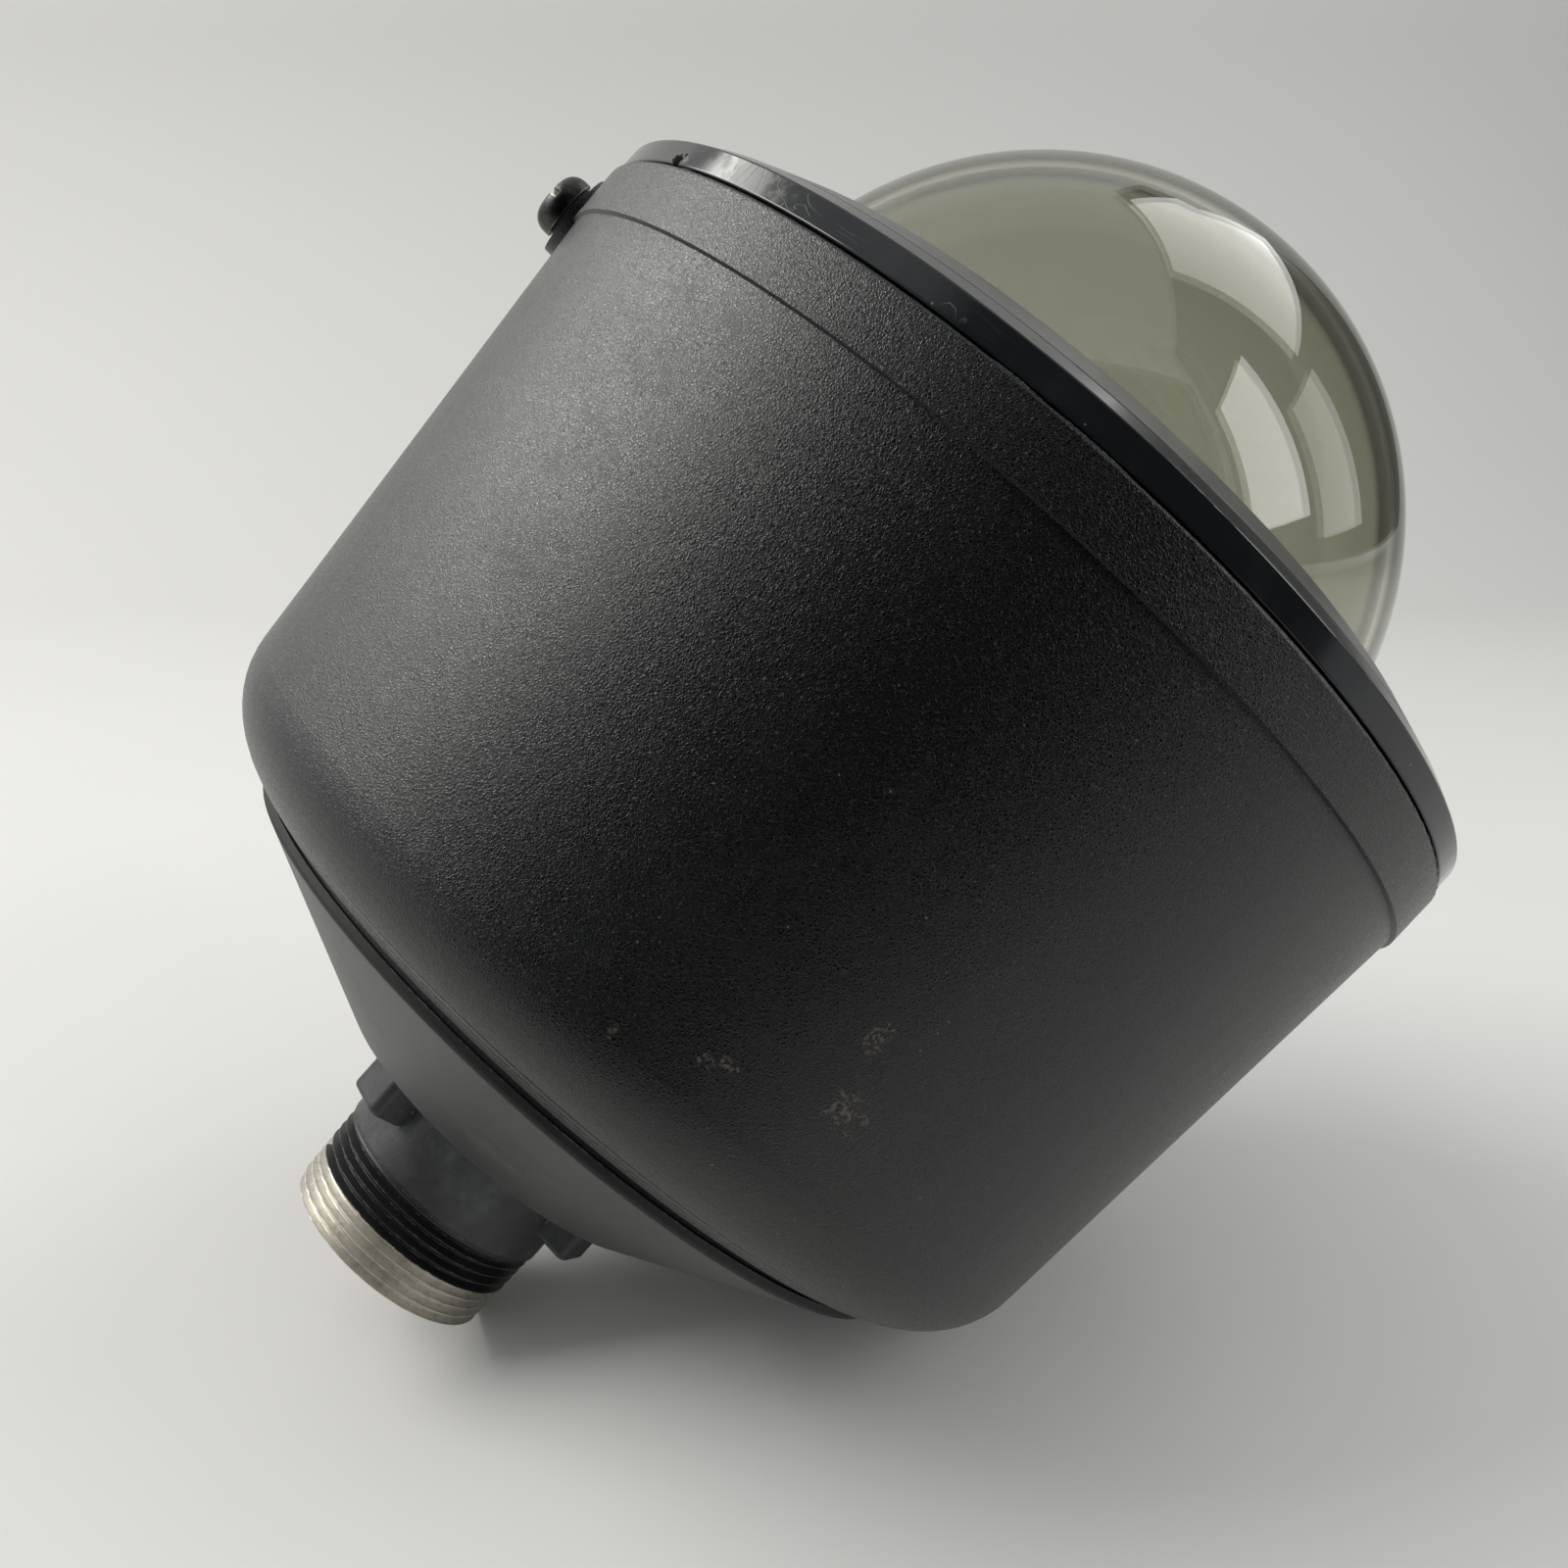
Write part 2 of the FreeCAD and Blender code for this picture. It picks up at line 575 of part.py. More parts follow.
def make_pendant_cap():
    body = new_body("pendant_cap")
    land_inner = cap_radius - S.cap_land
    inner_flat = cap_flat - S.cap_wall
    inner_flat_radius = S.cap_flat_radius - (S.cap_cone_depth - S.cap_wall) / S.cap_pitch
    inner_low = cap_flat - (land_inner - S.cap_flat_radius) * S.cap_pitch - S.cap_cone_depth
    turn_profile(body, "cap_body", [
        (S.stub_bore, inner_flat),
        (S.stub_bore, stub_top),
        (S.stub_radius - S.stub_chamfer, stub_top),
        (S.stub_radius, stub_top - S.stub_chamfer),
        (S.stub_radius, thread_end),
        (S.neck_radius, thread_end),
        (S.neck_radius, cap_flat),
        (S.cap_flat_radius, cap_flat),
        (cap_radius, cap_rim),
        (cap_radius, cap_bottom),
        (land_inner, cap_bottom),
        (land_inner, inner_low),
        (inner_flat_radius, inner_flat),
    ])
    round_edges(body, "rim_round", S.cap_edge, ring_edge(cap_radius, cap_rim))
    round_edges(body, "neck_round", S.neck_fillet, ring_edge(S.neck_radius, cap_flat))
    lug_root = cap_flat - S.cap_wall * 0.5
    sketch = new_sketch(body, "lug_outline", "XY_Plane", lug_root, lug_turn)
    add_box(sketch, S.stub_bore + 2.0, S.lug_reach, S.lug_width * -0.5, S.lug_width * 0.5)
    lug = pad(body, sketch, "lug", S.lug_height + S.cap_wall * 0.5)
    polar(body, "lugs", [lug], 3)
    lug_top = cap_flat + S.lug_height

    def lug_corner(edge):
        box = edge.BoundBox
        upright = box.XLength < 0.02 and box.YLength < 0.02
        outer = (box.XMax ** 2 + box.YMax ** 2) ** 0.5 > 0
        reach = max((p.X ** 2 + p.Y ** 2) ** 0.5 for p in edge.Vertexes)
        tall = abs(box.ZMax - lug_top.value) < 0.02 and box.ZLength > 2
        return upright and outer and tall and reach > S.lug_reach.value - 0.5

    def lug_rim(edge):
        box = edge.BoundBox
        level = abs(box.ZMax - lug_top.value) < 0.02 and box.ZLength < 0.02
        reach = max((p.X ** 2 + p.Y ** 2) ** 0.5 for p in edge.Vertexes)
        return level and reach > S.neck_radius.value + 1.0

    round_edges(body, "lug_corners", S.lug_edge, lug_corner)
    round_edges(body, "lug_rims", S.lug_edge * 0.5, lug_rim)
    sketch = new_sketch(body, "boss_outline", "XY_Plane", cap_bottom, cap_screw_turn)
    add_circle(sketch, S.cap_screw_circle, 0, S.cap_boss_radius)
    boss = body.newObject("PartDesign::Pad", "boss")
    boss.Profile = sketch
    boss.Type = "UpToFirst"
    doc.recompute()
    polar(body, "bosses", [boss], 4)
    sketch = new_sketch(body, "tapping_outline", "XY_Plane", cap_bottom, cap_screw_turn)
    add_circle(sketch, S.cap_screw_circle, 0, S.cap_screw_radius + S.seat)
    in_boss = S.cap_screw_length - S.cap_washer_thick - S.box_wall - S.gasket_thick
    tapping = pocket(body, sketch, "tapping", in_boss + 0.6, up=True)
    polar(body, "tappings", [tapping], 4)
    return body


def make_cap_gasket():
    body = new_body("cap_gasket")
    sketch = new_sketch(body, "gasket_outline", "XY_Plane", box_top)
    add_circle(sketch, 0, 0, cap_radius - S.gasket_inset)
    add_circle(sketch, 0, 0, S.gasket_inner)
    pad(body, sketch, "gasket", S.gasket_thick)
    sketch = new_sketch(body, "hole_outline", "XY_Plane", box_top, cap_screw_turn)
    add_circle(sketch, S.cap_screw_circle, 0, S.cap_screw_radius + 0.8)
    hole = pocket(body, sketch, "hole", S.gasket_thick * 2, symmetric=True)
    polar(body, "holes", [hole], 4)
    return body


def make_back_box():
    body = new_body("back_box")
    turn_profile(body, "box_body", [
        (S.box_hole, box_top),
        (wall_at(box_top), box_top),
        (wall_at(step_level), step_level),
        (band_top_radius, step_level - S.band_step),
        (band_radius, mouth),
        (S.box_mouth_radius - S.box_wall, mouth),
        (inner_wall_at(ceiling), ceiling),
        (S.box_hole, ceiling),
    ])
    round_edges(body, "shoulder", S.shoulder_radius, ring_edge(wall_at(box_top), box_top))
    inner_round = S.shoulder_radius - S.box_wall
    round_edges(body, "inner_shoulder", inner_round, ring_edge(inner_wall_at(ceiling), ceiling))
    round_edges(body, "mouth_round", S.mouth_edge, ring_edge(band_radius, mouth))
    sketch = new_sketch(body, "boss_outline", "XY_Plane", ceiling + S.box_wall * 0.5, plate_screw_turn)
    add_circle(sketch, plate_screw_circle, 0, S.plate_boss_radius)
    boss = pad(body, sketch, "boss", S.plate_drop + S.box_wall * 0.5, up=False)
    polar(body, "bosses", [boss], 3)
    sketch = new_sketch(body, "tapping_outline", "XY_Plane", plate_top, plate_screw_turn)
    add_circle(sketch, plate_screw_circle, 0, S.plate_screw_radius + S.seat)
    depth = S.plate_screw_length - S.plate_thick + 0.6
    tapping = pocket(body, sketch, "tapping", depth, up=True)
    polar(body, "tappings", [tapping], 3)
    sketch = new_sketch(body, "cap_hole_outline", "XY_Plane", box_top, cap_screw_turn)
    add_circle(sketch, S.cap_screw_circle, 0, S.cap_screw_radius + 0.4)
    hole = pocket(body, sketch, "cap_hole", S.box_wall + 1.0)
    polar(body, "cap_holes", [hole], 4)
    rib_top = box_top - S.rib_high
    rib_end = mouth + S.rib_low
    sketch = new_sketch(body, "rib_outline", "XZ_Plane")
    add_outline(sketch, [
        (inner_wall_at(rib_top) + 1.0, rib_top),
        (inner_wall_at(rib_end) + 1.0, rib_end),
        (inner_wall_at(rib_end) - S.rib_depth, rib_end),
        (inner_wall_at(rib_top) - S.rib_depth, rib_top),
    ])
    rib = pad(body, sketch, "rib", S.rib_thick, symmetric=True)
    polar(body, "ribs", [rib], 8)
    pad_root = inner_wall_at(latch_level) + S.box_wall * 0.4
    sketch = new_sketch(body, "latch_pad_outline", "YZ_Plane", pad_root)
    add_circle(sketch, 0, latch_level, S.pad_radius)
    latch_pad = pad(body, sketch, "latch_pad", pad_reach - pad_root)
    mirror(body, "latch_pads", [latch_pad], "YZ_Plane")
    sketch = new_sketch(body, "bush_hole_outline", "YZ_Plane")
    add_circle(sketch, 0, latch_level, S.bush_radius + S.seat)
    pocket(body, sketch, "bush_hole", pad_reach * 2 + 10.0, symmetric=True)
    return body


def make_cable_grommet():
    body = new_body("cable_grommet")
    lip = S.box_hole + S.grommet_lip
    inside = S.box_hole - S.seat
    turn_profile(body, "grommet", [
        (S.grommet_inner, ceiling - S.grommet_lip_thick),
        (lip, ceiling - S.grommet_lip_thick),
        (lip, ceiling),
        (inside, ceiling),
        (inside, box_top),
        (lip, box_top),
        (lip, box_top + S.grommet_lip_thick),
        (S.grommet_inner, box_top + S.grommet_lip_thick),
    ])
    round_edges(body, "upper_round", S.grommet_lip_thick * 0.3, ring_edge(lip, box_top + S.grommet_lip_thick))
    round_edges(body, "lower_round", S.grommet_lip_thick * 0.3, ring_edge(lip, ceiling - S.grommet_lip_thick))
    return body


def make_cap_screws():
    body = new_body("cap_screws")
    under_head = ceiling - S.cap_washer_thick
    sketch = new_sketch(body, "head_outline", "XY_Plane", under_head, cap_screw_turn)
    add_circle(sketch, S.cap_screw_circle, 0, S.cap_head_radius)
    head = pad(body, sketch, "head", S.cap_head_height, up=False)
    sketch = new_sketch(body, "shank_outline", "XY_Plane", under_head, cap_screw_turn)
    add_circle(sketch, S.cap_screw_circle, 0, S.cap_screw_radius)
    shank = pad(body, sketch, "shank", S.cap_screw_length)
    sketch = new_sketch(body, "key_outline", "XY_Plane", under_head - S.cap_head_height, cap_screw_turn)
    add_hexagon(sketch, S.cap_screw_circle, 0, S.cap_key)
    key = pocket(body, sketch, "key", S.cap_head_height * 0.55, up=True)
    polar(body, "screws", [head, shank, key], 4)
    return body


def make_cap_washers():
    body = new_body("cap_washers")
    sketch = new_sketch(body, "washer_outline", "XY_Plane", ceiling, cap_screw_turn)
    add_circle(sketch, S.cap_screw_circle, 0, S.cap_washer_radius)
    add_circle(sketch, S.cap_screw_circle, 0, S.cap_screw_radius + 0.15)
    washer = pad(body, sketch, "washer", S.cap_washer_thick, up=False)
    polar(body, "washers", [washer], 4)
    return body


def make_mounting_plate():
    body = new_body("mounting_plate")
    turn_profile(body, "plate_body", [
        (S.pan_bolt_radius + S.seat, plate_low),
        (S.pan_bolt_radius + S.seat, plate_top),
        (plate_radius, plate_top),
        (plate_radius, plate_low - S.plate_rim),
        (plate_radius - S.plate_thick, plate_low - S.plate_rim),
        (plate_radius - S.plate_thick, plate_low),
    ])
    round_edges(body, "plate_round", S.plate_thick * 0.8, ring_edge(plate_radius, plate_top))
    sketch = new_sketch(body, "screw_hole_outline", "XY_Plane", plate_top, plate_screw_turn)
    add_circle(sketch, plate_screw_circle, 0, S.plate_screw_radius + 0.2)
    hole = pocket(body, sketch, "screw_hole", S.plate_thick + 1.0)
    polar(body, "screw_holes", [hole], 3)
    sketch = new_sketch(body, "window_outline", "XY_Plane", plate_top)
    add_box(sketch, S.window_near, S.window_far, -S.window_half, S.window_half)
    add_box(sketch, -S.window_far, -S.window_near, -S.window_half, S.window_half)
    pocket(body, sketch, "windows", S.plate_thick + 1.0)

    def window_corner(edge):
        box = edge.BoundBox
        upright = box.XLength < 0.02 and box.YLength < 0.02
        at_window = abs(abs(box.YMax) - S.window_half.value) < 0.05
        return upright and at_window

    round_edges(body, "window_round", S.plate_thick * 1.5, window_corner)
    sketch = new_sketch(body, "stud_hole_outline", "XY_Plane", plate_top)
    for x, y in standoff_places():
        add_circle(sketch, x, y, S.standoff_stud + S.seat)
    add_circle(sketch, 0, -jack_y, S.jack_radius + S.seat)
    pocket(body, sketch, "stud_holes", S.plate_thick + 1.0)
    return body


def standoff_places():
    x = S.board_half - S.standoff_inset
    near = board_near + S.standoff_inset
    far = board_near + S.board_depth - S.standoff_inset
    return [(x, near), (-x, near), (x, far), (-x, far)]


def make_plate_screws():
    body = new_body("plate_screws")
    sketch = new_sketch(body, "head_outline", "XY_Plane", plate_low, plate_screw_turn)
    add_circle(sketch, plate_screw_circle, 0, S.plate_head_radius)
    head = pad(body, sketch, "head", S.plate_head_height, up=False)
    sketch = new_sketch(body, "shank_outline", "XY_Plane", plate_low, plate_screw_turn)
    add_circle(sketch, plate_screw_circle, 0, S.plate_screw_radius)
    shank = pad(body, sketch, "shank", S.plate_screw_length)
    sketch = new_sketch(body, "cross_outline", "XY_Plane", plate_low - S.plate_head_height, plate_screw_turn)
    long = S.plate_head_radius * 0.55
    thin = S.plate_head_radius * 0.14
    middle = plate_screw_circle
    add_outline(sketch, [
        (middle - long, -thin), (middle - thin, -thin), (middle - thin, -long),
        (middle + thin, -long), (middle + thin, -thin), (middle + long, -thin),
        (middle + long, thin), (middle + thin, thin), (middle + thin, long),
        (middle - thin, long), (middle - thin, thin), (middle - long, thin),
    ])
    cross = pocket(body, sketch, "cross", S.plate_head_height * 0.55, up=True)
    polar(body, "screws", [head, shank, cross], 3)
    return body


def make_pan_bolt():
    body = new_body("pan_bolt")
    head_top = web_low - S.running
    sketch = new_sketch(body, "head_outline", "XY_Plane", head_top)
    add_hexagon(sketch, 0, 0, S.pan_head_radius * 1.1547)
    pad(body, sketch, "head", S.pan_head_height, up=False)
    sketch = new_sketch(body, "shank_outline", "XY_Plane", head_top)
    add_circle(sketch, 0, 0, S.pan_bolt_radius)
    reach = plate_top + S.pan_nut_height + S.pan_thread_over - head_top
    pad(body, sketch, "shank", reach)
    return body


def make_pan_nut():
    body = new_body("pan_nut")
    sketch = new_sketch(body, "nut_outline", "XY_Plane", plate_top)
    add_hexagon(sketch, 0, 0, S.pan_nut_radius)
    add_circle(sketch, 0, 0, S.pan_bolt_radius + S.seat)
    pad(body, sketch, "nut", S.pan_nut_height)
    return body


def make_pan_washer():
    body = new_body("pan_washer")
    sketch = new_sketch(body, "washer_outline", "XY_Plane", plate_low)
    add_circle(sketch, 0, 0, S.pan_washer_radius)
    add_circle(sketch, 0, 0, S.pan_bolt_radius + S.seat)
    pad(body, sketch, "washer", S.pan_washer_thick, up=False)
    return body


def make_pan_disc():
    body = new_body("pan_disc")
    sketch = new_sketch(body, "disc_outline", "XY_Plane", disc_top)
    add_circle(sketch, 0, 0, S.pan_disc_radius)
    add_circle(sketch, 0, 0, S.pan_bolt_radius + S.running)
    for x, y in rivet_places():
        add_circle(sketch, x, y, S.rivet_radius + S.seat)
    pad(body, sketch, "disc", S.pan_disc_thick, up=False)
    return body


def rivet_places():
    x = S.rivet_x
    y = S.rivet_y
    return [(x, y), (-x, y), (x, -y), (-x, -y)]


def make_yoke():
    body = new_body("yoke")
    outer = S.yoke_half
    inner = S.yoke_half - S.yoke_thick
    low = tilt_level - S.yoke_width * 0.5
    sketch = new_sketch(body, "strip_outline", "XZ_Plane")
    add_outline(sketch, [
        (outer, disc_low), (outer, low), (inner, low), (inner, web_low),
        (-inner, web_low), (-inner, low), (-outer, low), (-outer, disc_low),
    ])
    pad(body, sketch, "strip", S.yoke_width, symmetric=True)

    def bend(edge):
        box = edge.BoundBox
        along = box.XLength < 0.02 and box.ZLength < 0.02 and box.YLength > 5
        outside = abs(abs(box.XMax) - outer.value) < 0.05
        return along and outside and abs(box.ZMax - disc_low.value) < 0.05

    round_edges(body, "bends", S.yoke_thick, bend)

    def tip(edge):
        box = edge.BoundBox
        across = box.YLength < 0.02 and box.ZLength < 0.02 and box.XLength > 1
        return across and abs(box.ZMax - low.value) < 0.05

    round_edges(body, "tips", S.yoke_width * 0.49, tip)
    sketch = new_sketch(body, "pivot_outline", "YZ_Plane")
    add_circle(sketch, 0, tilt_level, S.tilt_screw_radius + S.running)
    pocket(body, sketch, "pivots", outer * 2 + 10.0, symmetric=True)
    sketch = new_sketch(body, "web_hole_outline", "XY_Plane", disc_low)
    add_circle(sketch, 0, 0, S.pan_bolt_radius + S.running)
    for x, y in rivet_places():
        add_circle(sketch, x, y, S.rivet_radius + S.seat)
    pocket(body, sketch, "web_holes", S.yoke_thick + 1.0)
    return body


def make_yoke_rivets():
    body = new_body("yoke_rivets")
    sketch = new_sketch(body, "head_outline", "XY_Plane", web_low)
    for x, y in rivet_places():
        add_circle(sketch, x, y, S.rivet_head_radius)
    pad(body, sketch, "heads", S.rivet_head_height, up=False)
    sketch = new_sketch(body, "shank_outline", "XY_Plane", web_low)
    for x, y in rivet_places():
        add_circle(sketch, x, y, S.rivet_radius)
    pad(body, sketch, "shanks", S.yoke_thick + S.pan_disc_thick)
    rim = web_low - S.rivet_head_height

    def head_rim(edge):
        round_one = isinstance(edge.Curve, Part.Circle)
        return round_one and abs(edge.BoundBox.ZMax - rim.value) < 0.02

    round_edges(body, "head_rounds", S.rivet_head_height * 0.7, head_rim)
    return body


def make_camera_sled():
    body = new_body("camera_sled")
    outer = S.yoke_half - S.yoke_thick - S.tilt_washer_thick - S.running * 2
    inner = outer - S.sled_thick
    low = tilt_level - S.sled_ear * 0.5
    sketch = new_sketch(body, "strip_outline", "XZ_Plane")
    add_outline(sketch, [
        (outer, tray_top), (outer, low), (inner, low), (inner, tray_low),
        (-inner, tray_low), (-inner, low), (-outer, low), (-outer, tray_top),
    ])
    pad(body, sketch, "strip", S.sled_ear, symmetric=True)

    def bend(edge):
        box = edge.BoundBox
        along = box.XLength < 0.02 and box.ZLength < 0.02 and box.YLength > 5
        outside = abs(abs(box.XMax) - outer.value) < 0.05
        return along and outside and abs(box.ZMax - tray_top.value) < 0.05

    round_edges(body, "bends", S.sled_thick, bend)

    def tip(edge):
        box = edge.BoundBox
        across = box.YLength < 0.02 and box.ZLength < 0.02 and box.XLength > 1
        return across and abs(box.ZMax - low.value) < 0.05

    round_edges(body, "tips", S.sled_ear * 0.49, tip)
    sketch = new_sketch(body, "tray_outline", "XY_Plane", tray_low)
    add_box(sketch, -S.sled_tray_half, S.sled_tray_half, -S.sled_back, S.sled_front)
    pad(body, sketch, "tray", S.sled_thick)

    def tray_corner(edge):
        box = edge.BoundBox
        upright = box.XLength < 0.02 and box.YLength < 0.02
        side = abs(abs(box.XMax) - S.sled_tray_half.value) < 0.05
        end = abs(box.YMax) > min(S.sled_back.value, S.sled_front.value) - 0.05
        return upright and side and end

    round_edges(body, "tray_round", S.sled_thick * 2, tray_corner)
    sketch = new_sketch(body, "slot_outline", "XY_Plane", tray_top)
    add_slot(sketch, -S.slot_reach, S.slot_reach, S.slot_half)
    pocket(body, sketch, "slot", S.sled_thick + 1.0)
    sketch = new_sketch(body, "pivot_outline", "YZ_Plane")
    add_circle(sketch, 0, tilt_level, S.tilt_screw_radius + S.seat)
    pocket(body, sketch, "pivots", outer * 2 + 10.0, symmetric=True)
    return body


def make_camera_pad():
    body = new_body("camera_pad")
    sketch = new_sketch(body, "pad_outline", "XY_Plane", tray_low)
    side = S.sled_tray_half - S.sled_thick * 2
    add_box(sketch, -side, side, -S.sled_back + 2.0, S.sled_front - 2.0)
    pad(body, sketch, "pad", S.camera_pad_thick, up=False)
    sketch = new_sketch(body, "slot_outline", "XY_Plane", tray_low)
    add_slot(sketch, -S.slot_reach, S.slot_reach, S.slot_half + 0.5)
    pocket(body, sketch, "slot", S.camera_pad_thick + 1.0)
    return body


def make_camera_screw():
    body = new_body("camera_screw")
    knob_low = tray_top + S.running
    sketch = new_sketch(body, "knob_outline", "XY_Plane", knob_low)
    add_circle(sketch, 0, 0, S.camera_knob_radius)
    pad(body, sketch, "knob", S.camera_knob_height)
    sketch = new_sketch(body, "shank_outline", "XY_Plane", knob_low)
    add_circle(sketch, 0, 0, S.camera_screw_radius)
    reach = knob_low - tray_low + S.camera_pad_thick + S.camera_screw_reach
    pad(body, sketch, "shank", reach, up=False)
    sketch = new_sketch(body, "flute_outline", "XY_Plane", knob_low)
    add_circle(sketch, S.camera_knob_radius + 0.6, 0, as_size(1.2))
    flute = pocket(body, sketch, "flute", S.camera_knob_height, up=True)
    polar(body, "flutes", [flute], 12)
    return body


def tilt_side_pads(body, name, radius, start, length, hexagon=False, hole=None):
    """The same round or hexagonal piece on the tilt axis, on both sides of the yoke."""
    sketch = new_sketch(body, name + "_outline", "YZ_Plane", start)
    if hexagon:
        add_hexagon(sketch, 0, tilt_level, radius)
    else:
        add_circle(sketch, 0, tilt_level, radius)
    if hole is not None:
        add_circle(sketch, 0, tilt_level, hole)
    made = pad(body, sketch, name, length)
    return made


def make_tilt_screws():
    body = new_body("tilt_screws")
    knob_start = S.yoke_half + S.running
    nut_start = sled_inner() - S.tilt_nut_height
    shank = tilt_side_pads(body, "shank", S.tilt_screw_radius, nut_start - 1.0, knob_start - nut_start + 1.0)
    knob = tilt_side_pads(body, "knob", S.tilt_knob_radius, knob_start, S.tilt_knob_length)
    mirror(body, "both", [shank, knob], "YZ_Plane")
    outer = knob_start + S.tilt_knob_length

    def knob_rim(edge):
        round_one = isinstance(edge.Curve, Part.Circle)
        return round_one and abs(abs(edge.BoundBox.XMax) - outer.value) < 0.05

    round_edges(body, "knob_rounds", S.tilt_knob_length * 0.2, knob_rim)
    return body


def sled_inner():
    return S.yoke_half - S.yoke_thick - S.tilt_washer_thick - S.running * 2 - S.sled_thick


def make_tilt_washers():
    body = new_body("tilt_washers")
    start = sled_inner() + S.sled_thick + S.running * 0.5
    hole = S.tilt_screw_radius + S.seat
    washer = tilt_side_pads(body, "washer", S.tilt_washer_radius, start, S.tilt_washer_thick, hole=hole)
    mirror(body, "both", [washer], "YZ_Plane")
    return body


def make_tilt_nuts():
    body = new_body("tilt_nuts")
    start = sled_inner() - S.tilt_nut_height
    hole = S.tilt_screw_radius + S.seat
    nut = tilt_side_pads(body, "nut", S.tilt_nut_radius, start, S.tilt_nut_height, hexagon=True, hole=hole)
    mirror(body, "both", [nut], "YZ_Plane")
    return body


def make_terminal_board():
    body = new_body("terminal_board")
    sketch = new_sketch(body, "board_outline", "XY_Plane", board_top)
    add_box(sketch, -S.board_half, S.board_half, board_near, board_near + S.board_depth)
    for x, y in standoff_places():
        add_circle(sketch, x, y, S.standoff_stud + S.seat)
    pad(body, sketch, "board", S.board_thick, up=False)
    return body


def make_board_standoffs():
    body = new_body("board_standoffs")
    sketch = new_sketch(body, "standoff_outline", "XY_Plane", plate_low)
    for x, y in standoff_places():
        add_hexagon(sketch, x, y, S.standoff_radius)
    pad(body, sketch, "standoffs", S.standoff_height, up=False)
    sketch = new_sketch(body, "stud_outline", "XY_Plane", plate_low)
    for x, y in standoff_places():
        add_circle(sketch, x, y, S.standoff_stud)
    pad(body, sketch, "studs", S.plate_thick + 1.4)
    sketch = new_sketch(body, "tapping_outline", "XY_Plane", board_top)
    for x, y in standoff_places():
        add_circle(sketch, x, y, S.standoff_stud + S.seat)
    pocket(body, sketch, "tappings", S.board_screw_length - S.board_thick + 0.5, up=True)
    return body


def make_board_screws():
    body = new_body("board_screws")
    sketch = new_sketch(body, "head_outline", "XY_Plane", board_low)
    for x, y in standoff_places():
        add_circle(sketch, x, y, S.board_head_radius)
    pad(body, sketch, "heads", S.board_head_height, up=False)
    sketch = new_sketch(body, "shank_outline", "XY_Plane", board_low)
    for x, y in standoff_places():
        add_circle(sketch, x, y, S.standoff_stud)
    pad(body, sketch, "shanks", S.board_screw_length)
    sketch = new_sketch(body, "slot_outline", "XY_Plane", board_low - S.board_head_height)
    for x, y in standoff_places():
        long = S.board_head_radius * 0.8
        thin = S.board_head_radius * 0.16
        add_box(sketch, x - long, x + long, y - thin, y + thin)
    pocket(body, sketch, "slots", S.board_head_height * 0.5, up=True)
    return body


def power_middle():
    return board_near + S.power_depth * 0.5 + 1.0


def signal_middle():
    return board_near + S.board_depth - S.signal_depth * 0.5 - 1.0


def terminal_block(label, middle, half, depth, height, pitch, poles):
    """A terminal block with one wire mouth and one screw well for each pole."""
    body = new_body(label)
    sketch = new_sketch(body, "block_outline", "XY_Plane", board_low)
    add_box(sketch, -half, half, middle - depth * 0.5, middle + depth * 0.5)
    pad(body, sketch, "block", height, up=False)
    low = board_low - height
    first = (poles - 1) * 0.5
    sketch = new_sketch(body, "well_outline", "XY_Plane", low)
    for i in range(poles):
        add_circle(sketch, pitch * (i - first), middle, pitch * 0.32)
    pocket(body, sketch, "wells", height * 0.45, up=True)
    mouth_middle = low + height * 0.62
    sketch = new_sketch(body, "mouth_outline", "XZ_Plane", -(middle - depth * 0.5))
    for i in range(poles):
        x = pitch * (i - first)
        reach = pitch * 0.25
        add_box(sketch, x - reach, x + reach, mouth_middle - reach, mouth_middle + reach)
    pocket(body, sketch, "mouths", depth * 0.6, up=False)
    return body


def terminal_screws(label, middle, height, pitch, poles):
    """The clamp screws in the wells of a terminal block."""
    body = new_body(label)
    low = board_low - height
    first = (poles - 1) * 0.5
    floor = low + height * 0.45
    sketch = new_sketch(body, "screw_outline", "XY_Plane", floor)
    for i in range(poles):
        add_circle(sketch, pitch * (i - first), middle, pitch * 0.32 - S.seat * 2)
    pad(body, sketch, "screws", height * 0.3, up=False)
    sketch = new_sketch(body, "slot_outline", "XY_Plane", floor - height * 0.3)
    for i in range(poles):
        x = pitch * (i - first)
        add_box(sketch, x - pitch * 0.25, x + pitch * 0.25, middle - pitch * 0.05, middle + pitch * 0.05)
    pocket(body, sketch, "slots", height * 0.1, up=True)
    return body


